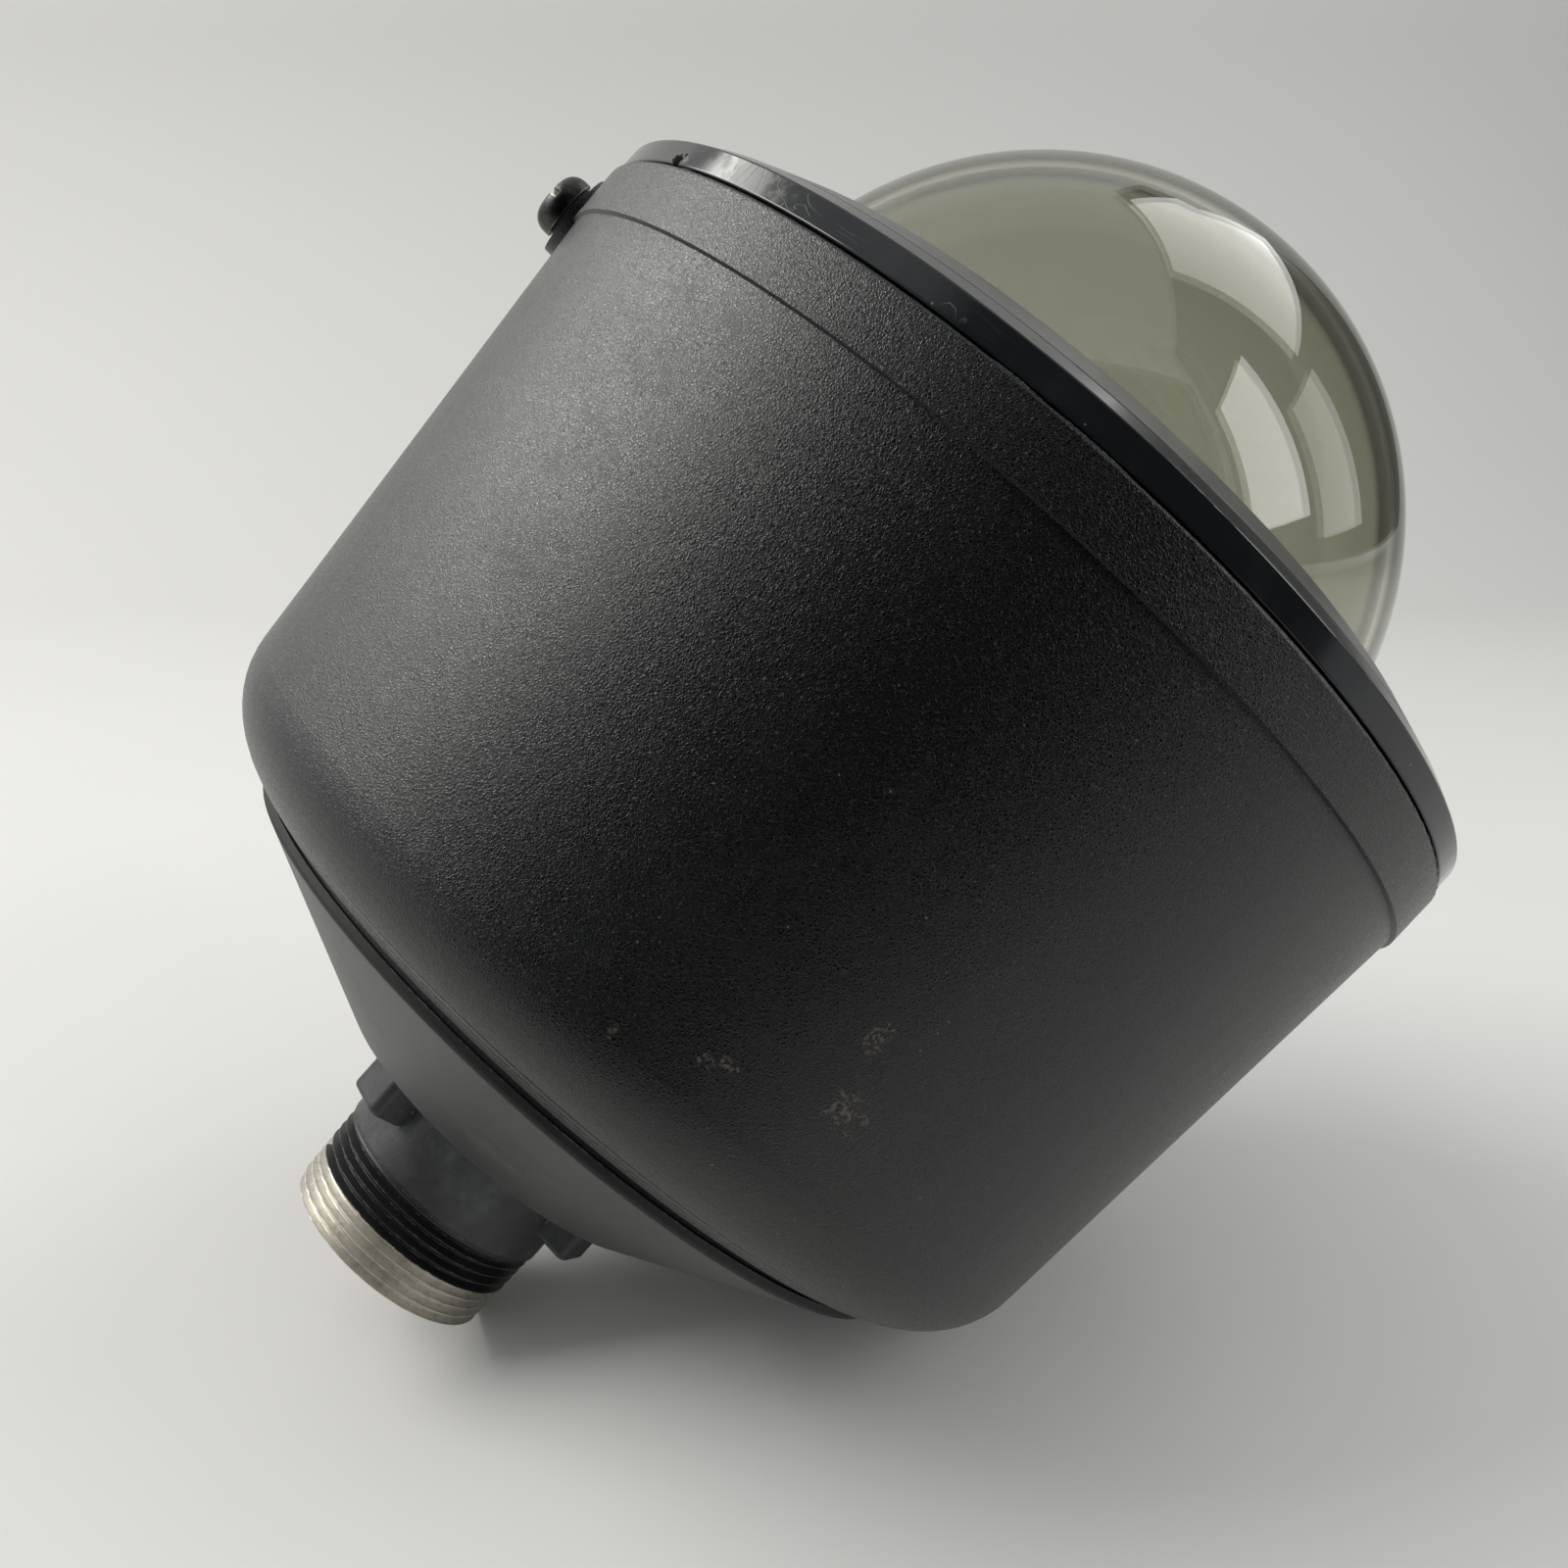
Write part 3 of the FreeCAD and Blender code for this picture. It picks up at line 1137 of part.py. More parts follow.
def make_video_jack():
    body = new_body("video_jack")
    bore = S.jack_radius * 0.66
    low = plate_low - S.jack_below
    sketch = new_sketch(body, "flange_outline", "XY_Plane", plate_low)
    add_circle(sketch, 0, -jack_y, S.jack_flange)
    pad(body, sketch, "flange", S.jack_flange_thick, up=False)
    sketch = new_sketch(body, "barrel_outline", "XY_Plane", low)
    add_circle(sketch, 0, -jack_y, S.jack_radius)
    pad(body, sketch, "barrel", S.jack_below + S.plate_thick + S.jack_above)
    sketch = new_sketch(body, "bore_outline", "XY_Plane", low)
    add_circle(sketch, 0, -jack_y, bore)
    pocket(body, sketch, "bore", S.jack_below * 0.7, up=True)
    sketch = new_sketch(body, "pin_outline", "XY_Plane", low + 1.0)
    add_circle(sketch, 0, -jack_y, S.jack_radius * 0.22)
    pad(body, sketch, "pin", S.jack_below * 0.8)
    sketch = new_sketch(body, "lug_outline", "YZ_Plane")
    add_circle(sketch, -jack_y, low + 3.0, S.jack_radius * 0.22)
    wide = S.jack_radius + 1.0
    lugs = pad(body, sketch, "bayonet", wide * 2, symmetric=True)
    doc.recompute()
    sketch = new_sketch(body, "clear_outline", "XY_Plane", low)
    add_circle(sketch, 0, -jack_y, bore)
    add_circle(sketch, 0, -jack_y, S.jack_radius * 0.22)
    pocket(body, sketch, "clear", S.jack_below * 0.7, up=True)
    return body


def make_video_jack_nut():
    body = new_body("video_jack_nut")
    sketch = new_sketch(body, "nut_outline", "XY_Plane", plate_top)
    add_hexagon(sketch, 0, -jack_y, S.jack_nut_radius)
    add_circle(sketch, 0, -jack_y, S.jack_radius + S.seat)
    pad(body, sketch, "nut", S.jack_nut_height)
    return body


def make_latch_bushes():
    body = new_body("latch_bushes")
    sketch = new_sketch(body, "bush_outline", "YZ_Plane", bush_inner)
    add_circle(sketch, 0, latch_level, S.bush_radius)
    add_circle(sketch, 0, latch_level, S.latch_radius + S.running)
    bush = pad(body, sketch, "bush", pad_reach - bush_inner)
    mirror(body, "both", [bush], "YZ_Plane")
    return body


def make_latch_screw(label, side):
    """One latch screw along X; side is 1 or -1."""
    body = new_body(label)
    outward = side > 0
    under_head = pad_reach + S.latch_washer_thick + S.running * 2
    start = under_head * side
    sketch = new_sketch(body, "head_outline", "YZ_Plane", start)
    add_circle(sketch, 0, latch_level, S.latch_head_radius)
    pad(body, sketch, "head", S.latch_head_height, up=outward)
    sketch = new_sketch(body, "shank_outline", "YZ_Plane", start)
    add_circle(sketch, 0, latch_level, S.latch_radius)
    tip = skirt_radius + S.running
    pad(body, sketch, "shank", under_head - tip, up=not outward)
    face = under_head + S.latch_head_height

    def head_rim(edge):
        round_one = isinstance(edge.Curve, Part.Circle)
        return round_one and abs(edge.BoundBox.XMax * side - face.value) < 0.05

    round_edges(body, "head_round", S.latch_head_height * 0.72, head_rim)
    sketch = new_sketch(body, "slot_outline", "YZ_Plane", face * side)
    half = S.latch_slot_width * 0.5
    long = S.latch_head_radius + 1.0
    add_box(sketch, -long, long, latch_level - half, latch_level + half)
    pocket(body, sketch, "slot", S.latch_slot_depth, up=not outward)
    return body


def make_latch_washer(label, side):
    """The captive washer under the head of one latch screw."""
    body = new_body(label)
    start = (pad_reach + S.running) * side
    sketch = new_sketch(body, "washer_outline", "YZ_Plane", start)
    add_circle(sketch, 0, latch_level, S.latch_washer_radius)
    add_circle(sketch, 0, latch_level, S.latch_radius + S.running)
    pad(body, sketch, "washer", S.latch_washer_thick, up=side > 0)
    return body


def make_trim_ring():
    body = new_body("trim_ring")
    slope = (S.ring_crest_drop - S.ring_step_drop) / (ring_step_radius - ring_crest_radius)
    skirt_inner = skirt_radius - S.skirt_wall
    crest_low = rim_low - S.ring_crest_drop
    corner = crest_low + (skirt_inner - ring_crest_radius) * slope + S.ring_wall
    low_corner = ring_crest_radius - (S.ring_lip_drop - S.ring_crest_drop) * 1.0 - 1.0
    step_low = rim_low - S.ring_step_drop
    turn_profile(body, "ring_body", [
        (skirt_inner, skirt_top),
        (skirt_radius, skirt_top),
        (skirt_radius, ring_top),
        (ring_radius, ring_top),
        (ring_radius, rim_low),
        (ring_step_radius, step_low),
        (ring_step_radius - S.ring_groove, step_low + S.ring_groove),
        (ring_step_radius - S.ring_groove * 2, step_low - S.ring_groove * 2 * slope),
        (ring_crest_radius, crest_low),
        (ring_lip_radius, lip_low),
        (ring_open, lip_low),
        (ring_open, lip_top),
        (low_corner, lip_top),
        (skirt_inner, corner),
    ])
    round_edges(body, "rim_round", S.ring_edge, ring_edge(ring_radius, rim_low))
    round_edges(body, "top_round", S.ring_edge, ring_edge(ring_radius, ring_top))
    round_edges(body, "open_round", S.ring_edge, ring_edge(ring_open, lip_low))
    turn_profile(body, "seal_groove", [
        (seal_groove_floor, seal_level - S.seal_groove_half),
        (skirt_radius + 1.0, seal_level - S.seal_groove_half),
        (skirt_radius + 1.0, seal_level + S.seal_groove_half),
        (seal_groove_floor, seal_level + S.seal_groove_half),
    ], "PartDesign::Groove")
    sketch = new_sketch(body, "boss_outline", "XY_Plane", lip_top - S.ring_wall * 0.4)
    add_circle(sketch, retainer_circle, 0, S.retainer_boss)
    boss = pad(body, sketch, "boss", flange_top - lip_top + S.ring_wall * 0.4)
    polar(body, "bosses", [boss], 6)
    sketch = new_sketch(body, "tapping_outline", "XY_Plane", flange_top)
    add_circle(sketch, retainer_circle, 0, S.retainer_screw + S.seat)
    tapping = pocket(body, sketch, "tapping", S.retainer_reach + 0.4)
    polar(body, "tappings", [tapping], 6)
    return body


def make_box_seal():
    body = new_body("box_seal")
    sketch = new_sketch(body, "seal_outline", "XZ_Plane")
    add_circle(sketch, seal_radius, seal_level, S.seal_wire)
    ring = body.newObject("PartDesign::Revolution", "seal")
    ring.Profile = sketch
    ring.ReferenceAxis = (sketch, ["V_Axis"])
    ring.Angle = 360
    doc.recompute()
    return body


def make_dome_bubble():
    body = new_body("dome_bubble")
    inner = dome_radius - S.dome_wall
    drop = dome_centre - flange_low
    tangent_drop = drop + S.dome_fillet
    foot = root_of(dome_radius * dome_radius - tangent_drop * tangent_drop)
    turn_profile(body, "dome", [
        (0, dome_centre - inner, inner, 1),
        (inner, dome_centre),
        (inner, flange_top),
        (dome_flange, flange_top),
        (dome_flange, flange_low),
        (foot + S.dome_fillet, flange_low, S.dome_fillet, 1),
        (foot, flange_low - S.dome_fillet, dome_radius, -1),
        (0, dome_centre - dome_radius),
    ])
    return body


def make_dome_seal():
    body = new_body("dome_seal")
    sketch = new_sketch(body, "seal_outline", "XY_Plane", lip_top)
    add_circle(sketch, 0, 0, dome_flange)
    add_circle(sketch, 0, 0, dome_seal_inner)
    pad(body, sketch, "seal", S.dome_seal_thick)
    return body


def make_retaining_ring():
    body = new_body("retaining_ring")
    sketch = new_sketch(body, "ring_outline", "XY_Plane", flange_top)
    add_circle(sketch, 0, 0, retainer_outer)
    add_circle(sketch, 0, 0, retainer_inner)
    pad(body, sketch, "ring", S.retainer_thick)
    sketch = new_sketch(body, "hole_outline", "XY_Plane", flange_top)
    add_circle(sketch, retainer_circle, 0, S.retainer_screw + 0.15)
    hole = pocket(body, sketch, "hole", S.retainer_thick + 1.0, up=True)
    polar(body, "holes", [hole], 6)
    return body


def make_retaining_screws():
    body = new_body("retaining_screws")
    under_head = flange_top + S.retainer_thick
    sketch = new_sketch(body, "head_outline", "XY_Plane", under_head)
    add_circle(sketch, retainer_circle, 0, S.retainer_head)
    head = pad(body, sketch, "head", S.retainer_head_height)
    sketch = new_sketch(body, "shank_outline", "XY_Plane", under_head)
    add_circle(sketch, retainer_circle, 0, S.retainer_screw)
    shank = pad(body, sketch, "shank", S.retainer_thick + S.retainer_reach, up=False)
    sketch = new_sketch(body, "slot_outline", "XY_Plane", under_head + S.retainer_head_height)
    long = S.retainer_head * 0.8
    thin = S.retainer_head * 0.15
    add_box(sketch, retainer_circle - long, retainer_circle + long, -thin, thin)
    slot = pocket(body, sketch, "slot", S.retainer_head_height * 0.5)
    polar(body, "screws", [head, shank, slot], 6)
    return body


parts = [
    make_pendant_cap(),
    make_cap_gasket(),
    make_back_box(),
    make_cable_grommet(),
    make_cap_screws(),
    make_cap_washers(),
    make_mounting_plate(),
    make_plate_screws(),
    make_pan_bolt(),
    make_pan_nut(),
    make_pan_washer(),
    make_terminal_board(),
    make_board_standoffs(),
    make_board_screws(),
    terminal_block("power_terminals", power_middle(), S.power_half, S.power_depth, S.power_height,
                   S.power_pitch, 5),
    terminal_screws("power_clamp_screws", power_middle(), S.power_height, S.power_pitch, 5),
    terminal_block("signal_terminals", signal_middle(), S.signal_half, S.signal_depth, S.signal_height,
                   S.signal_pitch, 6),
    terminal_screws("signal_clamp_screws", signal_middle(), S.signal_height, S.signal_pitch, 6),
    make_video_jack(),
    make_video_jack_nut(),
    make_latch_bushes(),
    make_pan_disc(),
    make_yoke(),
    make_yoke_rivets(),
    make_camera_sled(),
    make_camera_pad(),
    make_camera_screw(),
    make_tilt_screws(),
    make_tilt_washers(),
    make_tilt_nuts(),
    make_latch_screw("latch_screw_right", 1),
    make_latch_washer("latch_washer_right", 1),
    make_latch_screw("latch_screw_left", -1),
    make_latch_washer("latch_washer_left", -1),
    make_trim_ring(),
    make_box_seal(),
    make_dome_bubble(),
    make_dome_seal(),
    make_retaining_ring(),
    make_retaining_screws(),
]

doc.recompute()
failed = []
for item in doc.Objects:
    if "Invalid" in item.State or "Error" in item.State:
        failed.append("%s %s" % (item.Name, item.State))
for part in parts:
    if part.Shape.isNull() or not part.Shape.isValid():
        failed.append("%s has no valid shape" % part.Label)
if failed:
    raise RuntimeError("; ".join(failed))

for part in parts:
    part.Shape.exportStep("parts/%s.step" % part.Label)
    box = part.Shape.BoundBox
    print("%-22s solids %2d  volume %10.1f  x %7.1f %7.1f  y %7.1f %7.1f  z %7.1f %7.1f" % (
        part.Label, len(part.Shape.Solids), part.Shape.Volume,
        box.XMin, box.XMax, box.YMin, box.YMax, box.ZMin, box.ZMax))
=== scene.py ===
import math

import bmesh
import bpy
from mathutils import Matrix, Vector


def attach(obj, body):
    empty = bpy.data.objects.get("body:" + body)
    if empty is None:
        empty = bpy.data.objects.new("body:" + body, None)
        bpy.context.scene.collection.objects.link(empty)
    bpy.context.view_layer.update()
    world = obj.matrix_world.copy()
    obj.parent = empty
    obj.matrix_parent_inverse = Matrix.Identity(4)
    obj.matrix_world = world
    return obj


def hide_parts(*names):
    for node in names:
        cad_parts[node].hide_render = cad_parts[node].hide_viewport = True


bl_info = {
    "name": "Pendant camera housing",
    "version": (1, 0, 0),
    "blender": (4, 5, 0),
    "location": "3D View > Sidebar > Housing",
    "description": "Finishes, pipe thread, board parts and studio for a pendant camera housing",
    "category": "Object",
}

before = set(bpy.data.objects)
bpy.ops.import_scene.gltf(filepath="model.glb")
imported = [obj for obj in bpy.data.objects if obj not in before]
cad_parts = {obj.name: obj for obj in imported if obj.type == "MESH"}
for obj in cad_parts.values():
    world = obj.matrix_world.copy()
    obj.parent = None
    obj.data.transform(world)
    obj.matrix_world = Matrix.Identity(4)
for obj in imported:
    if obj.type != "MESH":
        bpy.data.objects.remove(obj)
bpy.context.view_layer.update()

MM = 0.001
FULL_TURN = 2.0 * math.pi

# The camera of the photograph, in the row frame.
EYE = Vector((0.070454, -0.320260, -0.115111))
EYE_RIGHT = Vector((-0.729398, -0.156400, -0.665971))
EYE_UP = Vector((0.651729, 0.137004, -0.745975))
EYE_AHEAD = Vector((-0.207911, 0.978146, -0.002000))

# The table that the housing lies on: its axes, and the point of it below the housing.
TABLE_RIGHT = Vector((-0.729222, -0.156438, -0.666155))
TABLE_DEPTH = Vector((-0.013053, 0.976543, -0.214925))
TABLE_UP = Vector((0.684152, -0.148033, -0.714159))
TABLE_POINT = Vector((0.0, 0.0, -0.126)) - 0.1138 * TABLE_UP

# Where the parts meet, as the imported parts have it.
STUB_TOP = 0.0107
THREAD_END = -0.0077
STUB_BORE = 0.0185
STUB_RADIUS = 0.0240
MOUTH = -0.1802455
BAND_RADIUS = 0.1083
RING_RADIUS = 0.1076
BOARD_FACE = -0.0826
SHELL_TOP = -0.0526


# ---------------------------------------------------------------- settings


class HousingSizes(bpy.types.PropertyGroup):
    """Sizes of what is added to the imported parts."""

    thread_pitch: bpy.props.FloatProperty(
        name="Thread pitch", description="Rise of the pipe thread in one turn",
        default=0.002209, min=0.001, unit="LENGTH", precision=5)
    thread_depth: bpy.props.FloatProperty(
        name="Thread depth", description="Depth of the thread groove below its crest",
        default=0.00150, min=0.0005, unit="LENGTH", precision=5)
    grain_cell: bpy.props.FloatProperty(
        name="Grain cell", description="Size of one pebble of the moulded leather grain",
        default=0.00052, min=0.0003, unit="LENGTH", precision=5)
    burr_height: bpy.props.FloatProperty(
        name="Burr height", description="Height of the moulding flash on the mouth edge",
        default=0.00030, min=0.0001, unit="LENGTH", precision=5)
    capacitor_radius: bpy.props.FloatProperty(
        name="Capacitor radius", description="Radius of a capacitor on the terminal board",
        default=0.0036, min=0.001, unit="LENGTH", precision=4)
    capacitor_height: bpy.props.FloatProperty(
        name="Capacitor height", description="Height of a capacitor on the terminal board",
        default=0.0105, min=0.002, unit="LENGTH", precision=4)


class HousingColours(bpy.types.PropertyGroup):
    """Colours of the finishes."""

    paint: bpy.props.FloatVectorProperty(
        name="Cap paint", description="Satin black paint on the cast cap",
        default=(0.0205, 0.0212, 0.0218), size=3, min=0, max=1, subtype="COLOR")
    # The plastic is near black. Its blue cast is a painted reflection of bluish light off the
    # shell.
    shell: bpy.props.FloatVectorProperty(
        name="Shell plastic", description="Grained black plastic of the back box",
        default=(0.0013, 0.0017, 0.0026), size=3, min=0, max=1, subtype="COLOR")
    trim: bpy.props.FloatVectorProperty(
        name="Trim plastic", description="Glossy black plastic of the trim ring",
        default=(0.0060, 0.0072, 0.0086), size=3, min=0, max=1, subtype="COLOR")
    dome: bpy.props.FloatVectorProperty(
        name="Dome tint", description="Smoke tint of one wall of the acrylic dome",
        default=(0.618, 0.614, 0.533), size=3, min=0, max=1, subtype="COLOR")
    aluminium: bpy.props.FloatVectorProperty(
        name="Bare aluminium", description="Machined aluminium of the thread",
        default=(0.72, 0.69, 0.63), size=3, min=0, max=1, subtype="COLOR")
    zinc: bpy.props.FloatVectorProperty(
        name="Zinc plate", description="Zinc plated sheet inside the housing",
        default=(0.60, 0.61, 0.62), size=3, min=0, max=1, subtype="COLOR")
    dust: bpy.props.FloatVectorProperty(
        name="Dust", description="Pale dust and dried smudges",
        default=(0.16, 0.155, 0.145), size=3, min=0, max=1, subtype="COLOR")
    dirt: bpy.props.FloatVectorProperty(
        name="Dirt", description="Dried brown dirt on the shell",
        default=(0.080, 0.060, 0.046), size=3, min=0, max=1, subtype="COLOR")


class HousingStage(bpy.types.PropertyGroup):
    """Table, lamps and surroundings."""

    floor: bpy.props.FloatVectorProperty(
        name="Table", description="Colour of the pale table and backdrop",
        default=(0.620, 0.615, 0.600), size=3, min=0, max=1, subtype="COLOR")
    key: bpy.props.FloatProperty(
        name="Left lamp", description="Brightness of the soft lamp on the left",
        default=8.4, min=0.0)
    panes: bpy.props.FloatProperty(
        name="Right lamps", description="Brightness of the tall lamps on the right",
        default=1.85, min=0.0)
    room: bpy.props.FloatProperty(
        name="Room", description="Brightness of the even light from all round",
        default=0.66, min=0.0)


def sizes():
    return bpy.context.scene.housing_sizes


def colours():
    return bpy.context.scene.housing_colours


# ---------------------------------------------------------------- node trees


class Tree:
    """Adds nodes to one node tree and joins their sockets."""

    def __init__(self, tree):
        self.tree = tree
        self.spot = None

    def add(self, kind, inputs=None, out=0, **settings):
        """A new node with these inputs and settings; gives back one of its outputs."""
        node = self.tree.nodes.new("ShaderNode" + kind)
        for name, value in settings.items():
            setattr(node, name, value)
        for socket, value in (inputs or {}).items():
            self.feed(node.inputs[socket], value)
        return node.outputs[out]

    def feed(self, socket, value):
        """Joins a socket to a socket, or sets its number or colour."""
        if isinstance(value, bpy.types.NodeSocket):
            self.tree.links.new(value, socket)
        elif hasattr(value, "__len__") and len(value) == 3 and socket.type == "RGBA":
            socket.default_value = (*value, 1.0)
        else:
            socket.default_value = value

    def place(self):
        """Where a point lies on the part, in metres."""
        if self.spot is None:
            self.spot = self.add("TexCoord", out="Object")
        return self.spot

    def axis(self, name, at=None):
        return self.add("SeparateXYZ", {0: at or self.place()}, out=name)

    def math(self, operation, first, second=0.0, third=0.0, clamp=False):
        return self.add("Math", {0: first, 1: second, 2: third},
                        operation=operation, use_clamp=clamp)

    def shift(self, operation, first, second):
        return self.add("VectorMath", {0: first, 1: second}, operation=operation)

    def stretch(self, at, amount):
        return self.add("VectorMath", {0: at, 1: amount}, operation="MULTIPLY")

    def between(self, value, low, high, to_low=0.0, to_high=1.0):
        """A soft step: to_low at low, to_high at high."""
        return self.add("MapRange", {0: value, 1: low, 2: high, 3: to_low, 4: to_high},
                        interpolation_type="SMOOTHSTEP")

    def noise(self, scale, detail=2.0, rough=0.5, at=None, bend=0.0, out=0):
        given = {"Vector": at or self.place(), "Scale": scale, "Detail": detail,
                 "Roughness": rough, "Distortion": bend}
        return self.add("TexNoise", given, out=out)

    def mix(self, share, first, second):
        """The second colour over the first, by a share."""
        return self.add("Mix", {0: share, 6: first, 7: second}, out=2, data_type="RGBA")

    def most(self, *values):
        """The largest of several values."""
        top = values[0]
        for value in values[1:]:
            top = self.math("MAXIMUM", top, value)
        return top

    def use(self, group, inputs=None, out=0):
        """A shared effect, placed with its own values."""
        node = self.tree.nodes.new("ShaderNodeGroup")
        node.node_tree = group
        for socket, value in (inputs or {}).items():
            self.feed(node.inputs[socket], value)
        return node.outputs[out]


def effect(name, inputs, output, wire):
    """A shader node group with named sockets, built once."""
    found = bpy.data.node_groups.get(name)
    if found:
        return found
    group = bpy.data.node_groups.new(name, "ShaderNodeTree")
    for label, value in inputs.items():
        kind = "NodeSocketVector" if hasattr(value, "__len__") else "NodeSocketFloat"
        socket = group.interface.new_socket(name=label, in_out="INPUT", socket_type=kind)
        socket.default_value = value
    group.interface.new_socket(name=output, in_out="OUTPUT", socket_type="NodeSocketFloat")
    tree = Tree(group)
    given = group.nodes.new("NodeGroupInput").outputs
    result = wire(tree, given)
    group.links.new(result, group.nodes.new("NodeGroupOutput").inputs[output])
    return group


def moulded_grain():
    """Leather grain of a moulded shell: pebbles with fine creases between them."""
    def wire(t, given):
        density = t.math("DIVIDE", 1.0, given["Cell"])
        drift = t.noise(t.math("MULTIPLY", density, 0.8), 1.0, out="Color")
        drift = t.shift("SUBTRACT", drift, (0.5, 0.5, 0.5))
        drift = t.add("VectorMath", {0: drift, "Scale": t.math("MULTIPLY", given["Cell"], 1.5)},
                      operation="SCALE")
        at = t.shift("ADD", t.place(), drift)
        crease = t.add("TexVoronoi", {"Vector": at, "Scale": density}, out="Distance",
                       feature="DISTANCE_TO_EDGE")
        pebble = t.between(crease, 0.0, 0.30)
        fold = t.noise(t.math("MULTIPLY", density, 1.3), 2.0, 0.6)
        fold = t.math("ABSOLUTE", t.math("SUBTRACT", fold, 0.5))
        fold = t.between(fold, 0.0, 0.16)
        return t.math("ADD", t.math("MULTIPLY", pebble, 0.70), t.math("MULTIPLY", fold, 0.30))
    return effect("moulded_grain", {"Cell": 0.001}, "Height", wire)


def orange_peel():
    """Low, rounded unevenness of sprayed paint."""
    def wire(t, given):
        density = t.math("DIVIDE", 1.0, given["Cell"])
        broad = t.noise(density, 1.0, 0.4)
        fine = t.noise(t.math("MULTIPLY", density, 4.0), 2.0, 0.6)
        return t.math("ADD", t.math("MULTIPLY", broad, 0.7), t.math("MULTIPLY", fine, 0.3))
    return effect("orange_peel", {"Cell": 0.001}, "Height", wire)


def fine_scratches():
    """Thin hairlines in patches."""
    def wire(t, given):
        at = t.stretch(t.place(), given["Run"])
        line = t.noise(given["Density"], 1.0, 0.5, at=at, bend=0.4)
        line = t.math("ABSOLUTE", t.math("SUBTRACT", line, 0.5))
        line = t.between(line, 0.0, given["Width"], 1.0, 0.0)
        patch = t.noise(38.0, 3.0, 0.6)
        patch = t.between(patch, t.math("SUBTRACT", 0.75, given["Amount"]), 0.80)
        return t.math("MULTIPLY", line, patch)
    given = {"Density": 160.0, "Run": (1.0, 1.0, 1.0), "Width": 0.004, "Amount": 0.3}
    return effect("fine_scratches", given, "Mask", wire)


def handled_patches():
    """Uneven film left by handling and dust: 0 clean, 1 dull."""
    def wire(t, given):
        broad = t.noise(given["Density"], 4.0, 0.62)
        fine = t.noise(t.math("MULTIPLY", given["Density"], 9.0), 3.0, 0.6)
        both = t.math("ADD", t.math("MULTIPLY", broad, 0.75), t.math("MULTIPLY", fine, 0.25))
        return t.between(both, given["Start"], t.math("ADD", given["Start"], 0.22))
    return effect("handled_patches", {"Density": 18.0, "Start": 0.46}, "Mask", wire)


def dust_specks():
    """Small separate specks of dust and lint."""
    def wire(t, given):
        cell = {"Vector": t.place(), "Scale": given["Density"]}
        near = t.add("TexVoronoi", cell, out="Distance")
        pick = t.axis("X", t.add("TexVoronoi", cell, out="Color"))
        size = t.math("MULTIPLY", given["Size"], t.math("ADD", pick, 0.2))
        dot = t.between(near, t.math("MULTIPLY", size, 0.4), size, 1.0, 0.0)
        some = t.math("GREATER_THAN", pick, t.math("SUBTRACT", 1.0, given["Amount"]))
        return t.math("MULTIPLY", dot, some)
    given = {"Density": 350.0, "Size": 0.12, "Amount": 0.15}
    return effect("dust_specks", given, "Mask", wire)


def worn_edges():
    """Edges rubbed bare: 1 along outside corners."""
    def wire(t, given):
        rounded = t.add("Bevel", {"Radius": given["Width"]}, samples=6)
        plain = t.add("NewGeometry", out="Normal")
        turn = t.add("VectorMath", {0: rounded, 1: plain}, out="Value",
                     operation="DOT_PRODUCT")
        turn = t.between(turn, 0.90, 0.995, 1.0, 0.0)
        ragged = t.noise(900.0, 3.0, 0.6)
        ragged = t.between(ragged, t.math("SUBTRACT", 0.62, given["Amount"]), 0.62)
        return t.math("MULTIPLY", turn, ragged)
    return effect("worn_edges", {"Width": 0.0006, "Amount": 0.15}, "Mask", wire)


def drawn_lines():
    """Fine parallel lines of rolled or turned metal, along the axis with the small number."""
    def wire(t, given):
        at = t.stretch(t.place(), given["Run"])
        return t.noise(given["Density"], 3.0, 0.65, at=at)
    return effect("drawn_lines", {"Run": (1.0, 0.02, 1.0), "Density": 2500.0}, "Height", wire)


def ragged_spot():
    """A spot of dirt with a torn outline round one point."""
    def wire(t, given):
        gap = t.shift("SUBTRACT", t.place(), given["Middle"])
        gap = t.shift("DIVIDE", gap, given["Reach"])
        far = t.add("VectorMath", {0: gap}, out="Value", operation="LENGTH")
        torn = t.noise(given["Tear"], 4.0, 0.68)
        far = t.math("ADD", far, t.math("MULTIPLY", t.math("SUBTRACT", torn, 0.5), 3.0))
        return t.between(far, 0.35, 1.0, 1.0, 0.0)
    given = {"Middle": (0.0, 0.0, 0.0), "Reach": (0.004, 0.004, 0.004), "Tear": 260.0}
    return effect("ragged_spot", given, "Mask", wire)


def thread_lines():
    """Rings of a machine thread across one axis."""
    def wire(t, given):
        along = t.add("VectorMath", {0: t.place(), 1: given["Axis"]}, out="Value",
                      operation="DOT_PRODUCT")
        turn = t.math("DIVIDE", along, given["Pitch"])
        return t.math("PINGPONG", turn, 0.5)
    return effect("thread_lines", {"Axis": (1.0, 0.0, 0.0), "Pitch": 0.001}, "Height", wire)


# ---------------------------------------------------------------- finishes


def finish(name, **plain):
    """A new material, its tree and its shader, with the plain values set on the shader."""
    material = bpy.data.materials.new(name)
    material.use_nodes = True
    shader = material.node_tree.nodes["Principled BSDF"]
    for socket, value in plain.items():
        Tree(material.node_tree).feed(shader.inputs[socket.replace("_", " ")], value)
    return material, Tree(material.node_tree), shader


def bump(t, shader, height, reach, strength=1.0, under=None):
    """Height in metres times reach, into the shader's normal."""
    given = {"Height": height, "Distance": reach, "Strength": strength}
    if under is not None:
        given["Normal"] = under
    normal = t.add("Bump", given)
    t.feed(shader.inputs["Normal"], normal)
    return normal


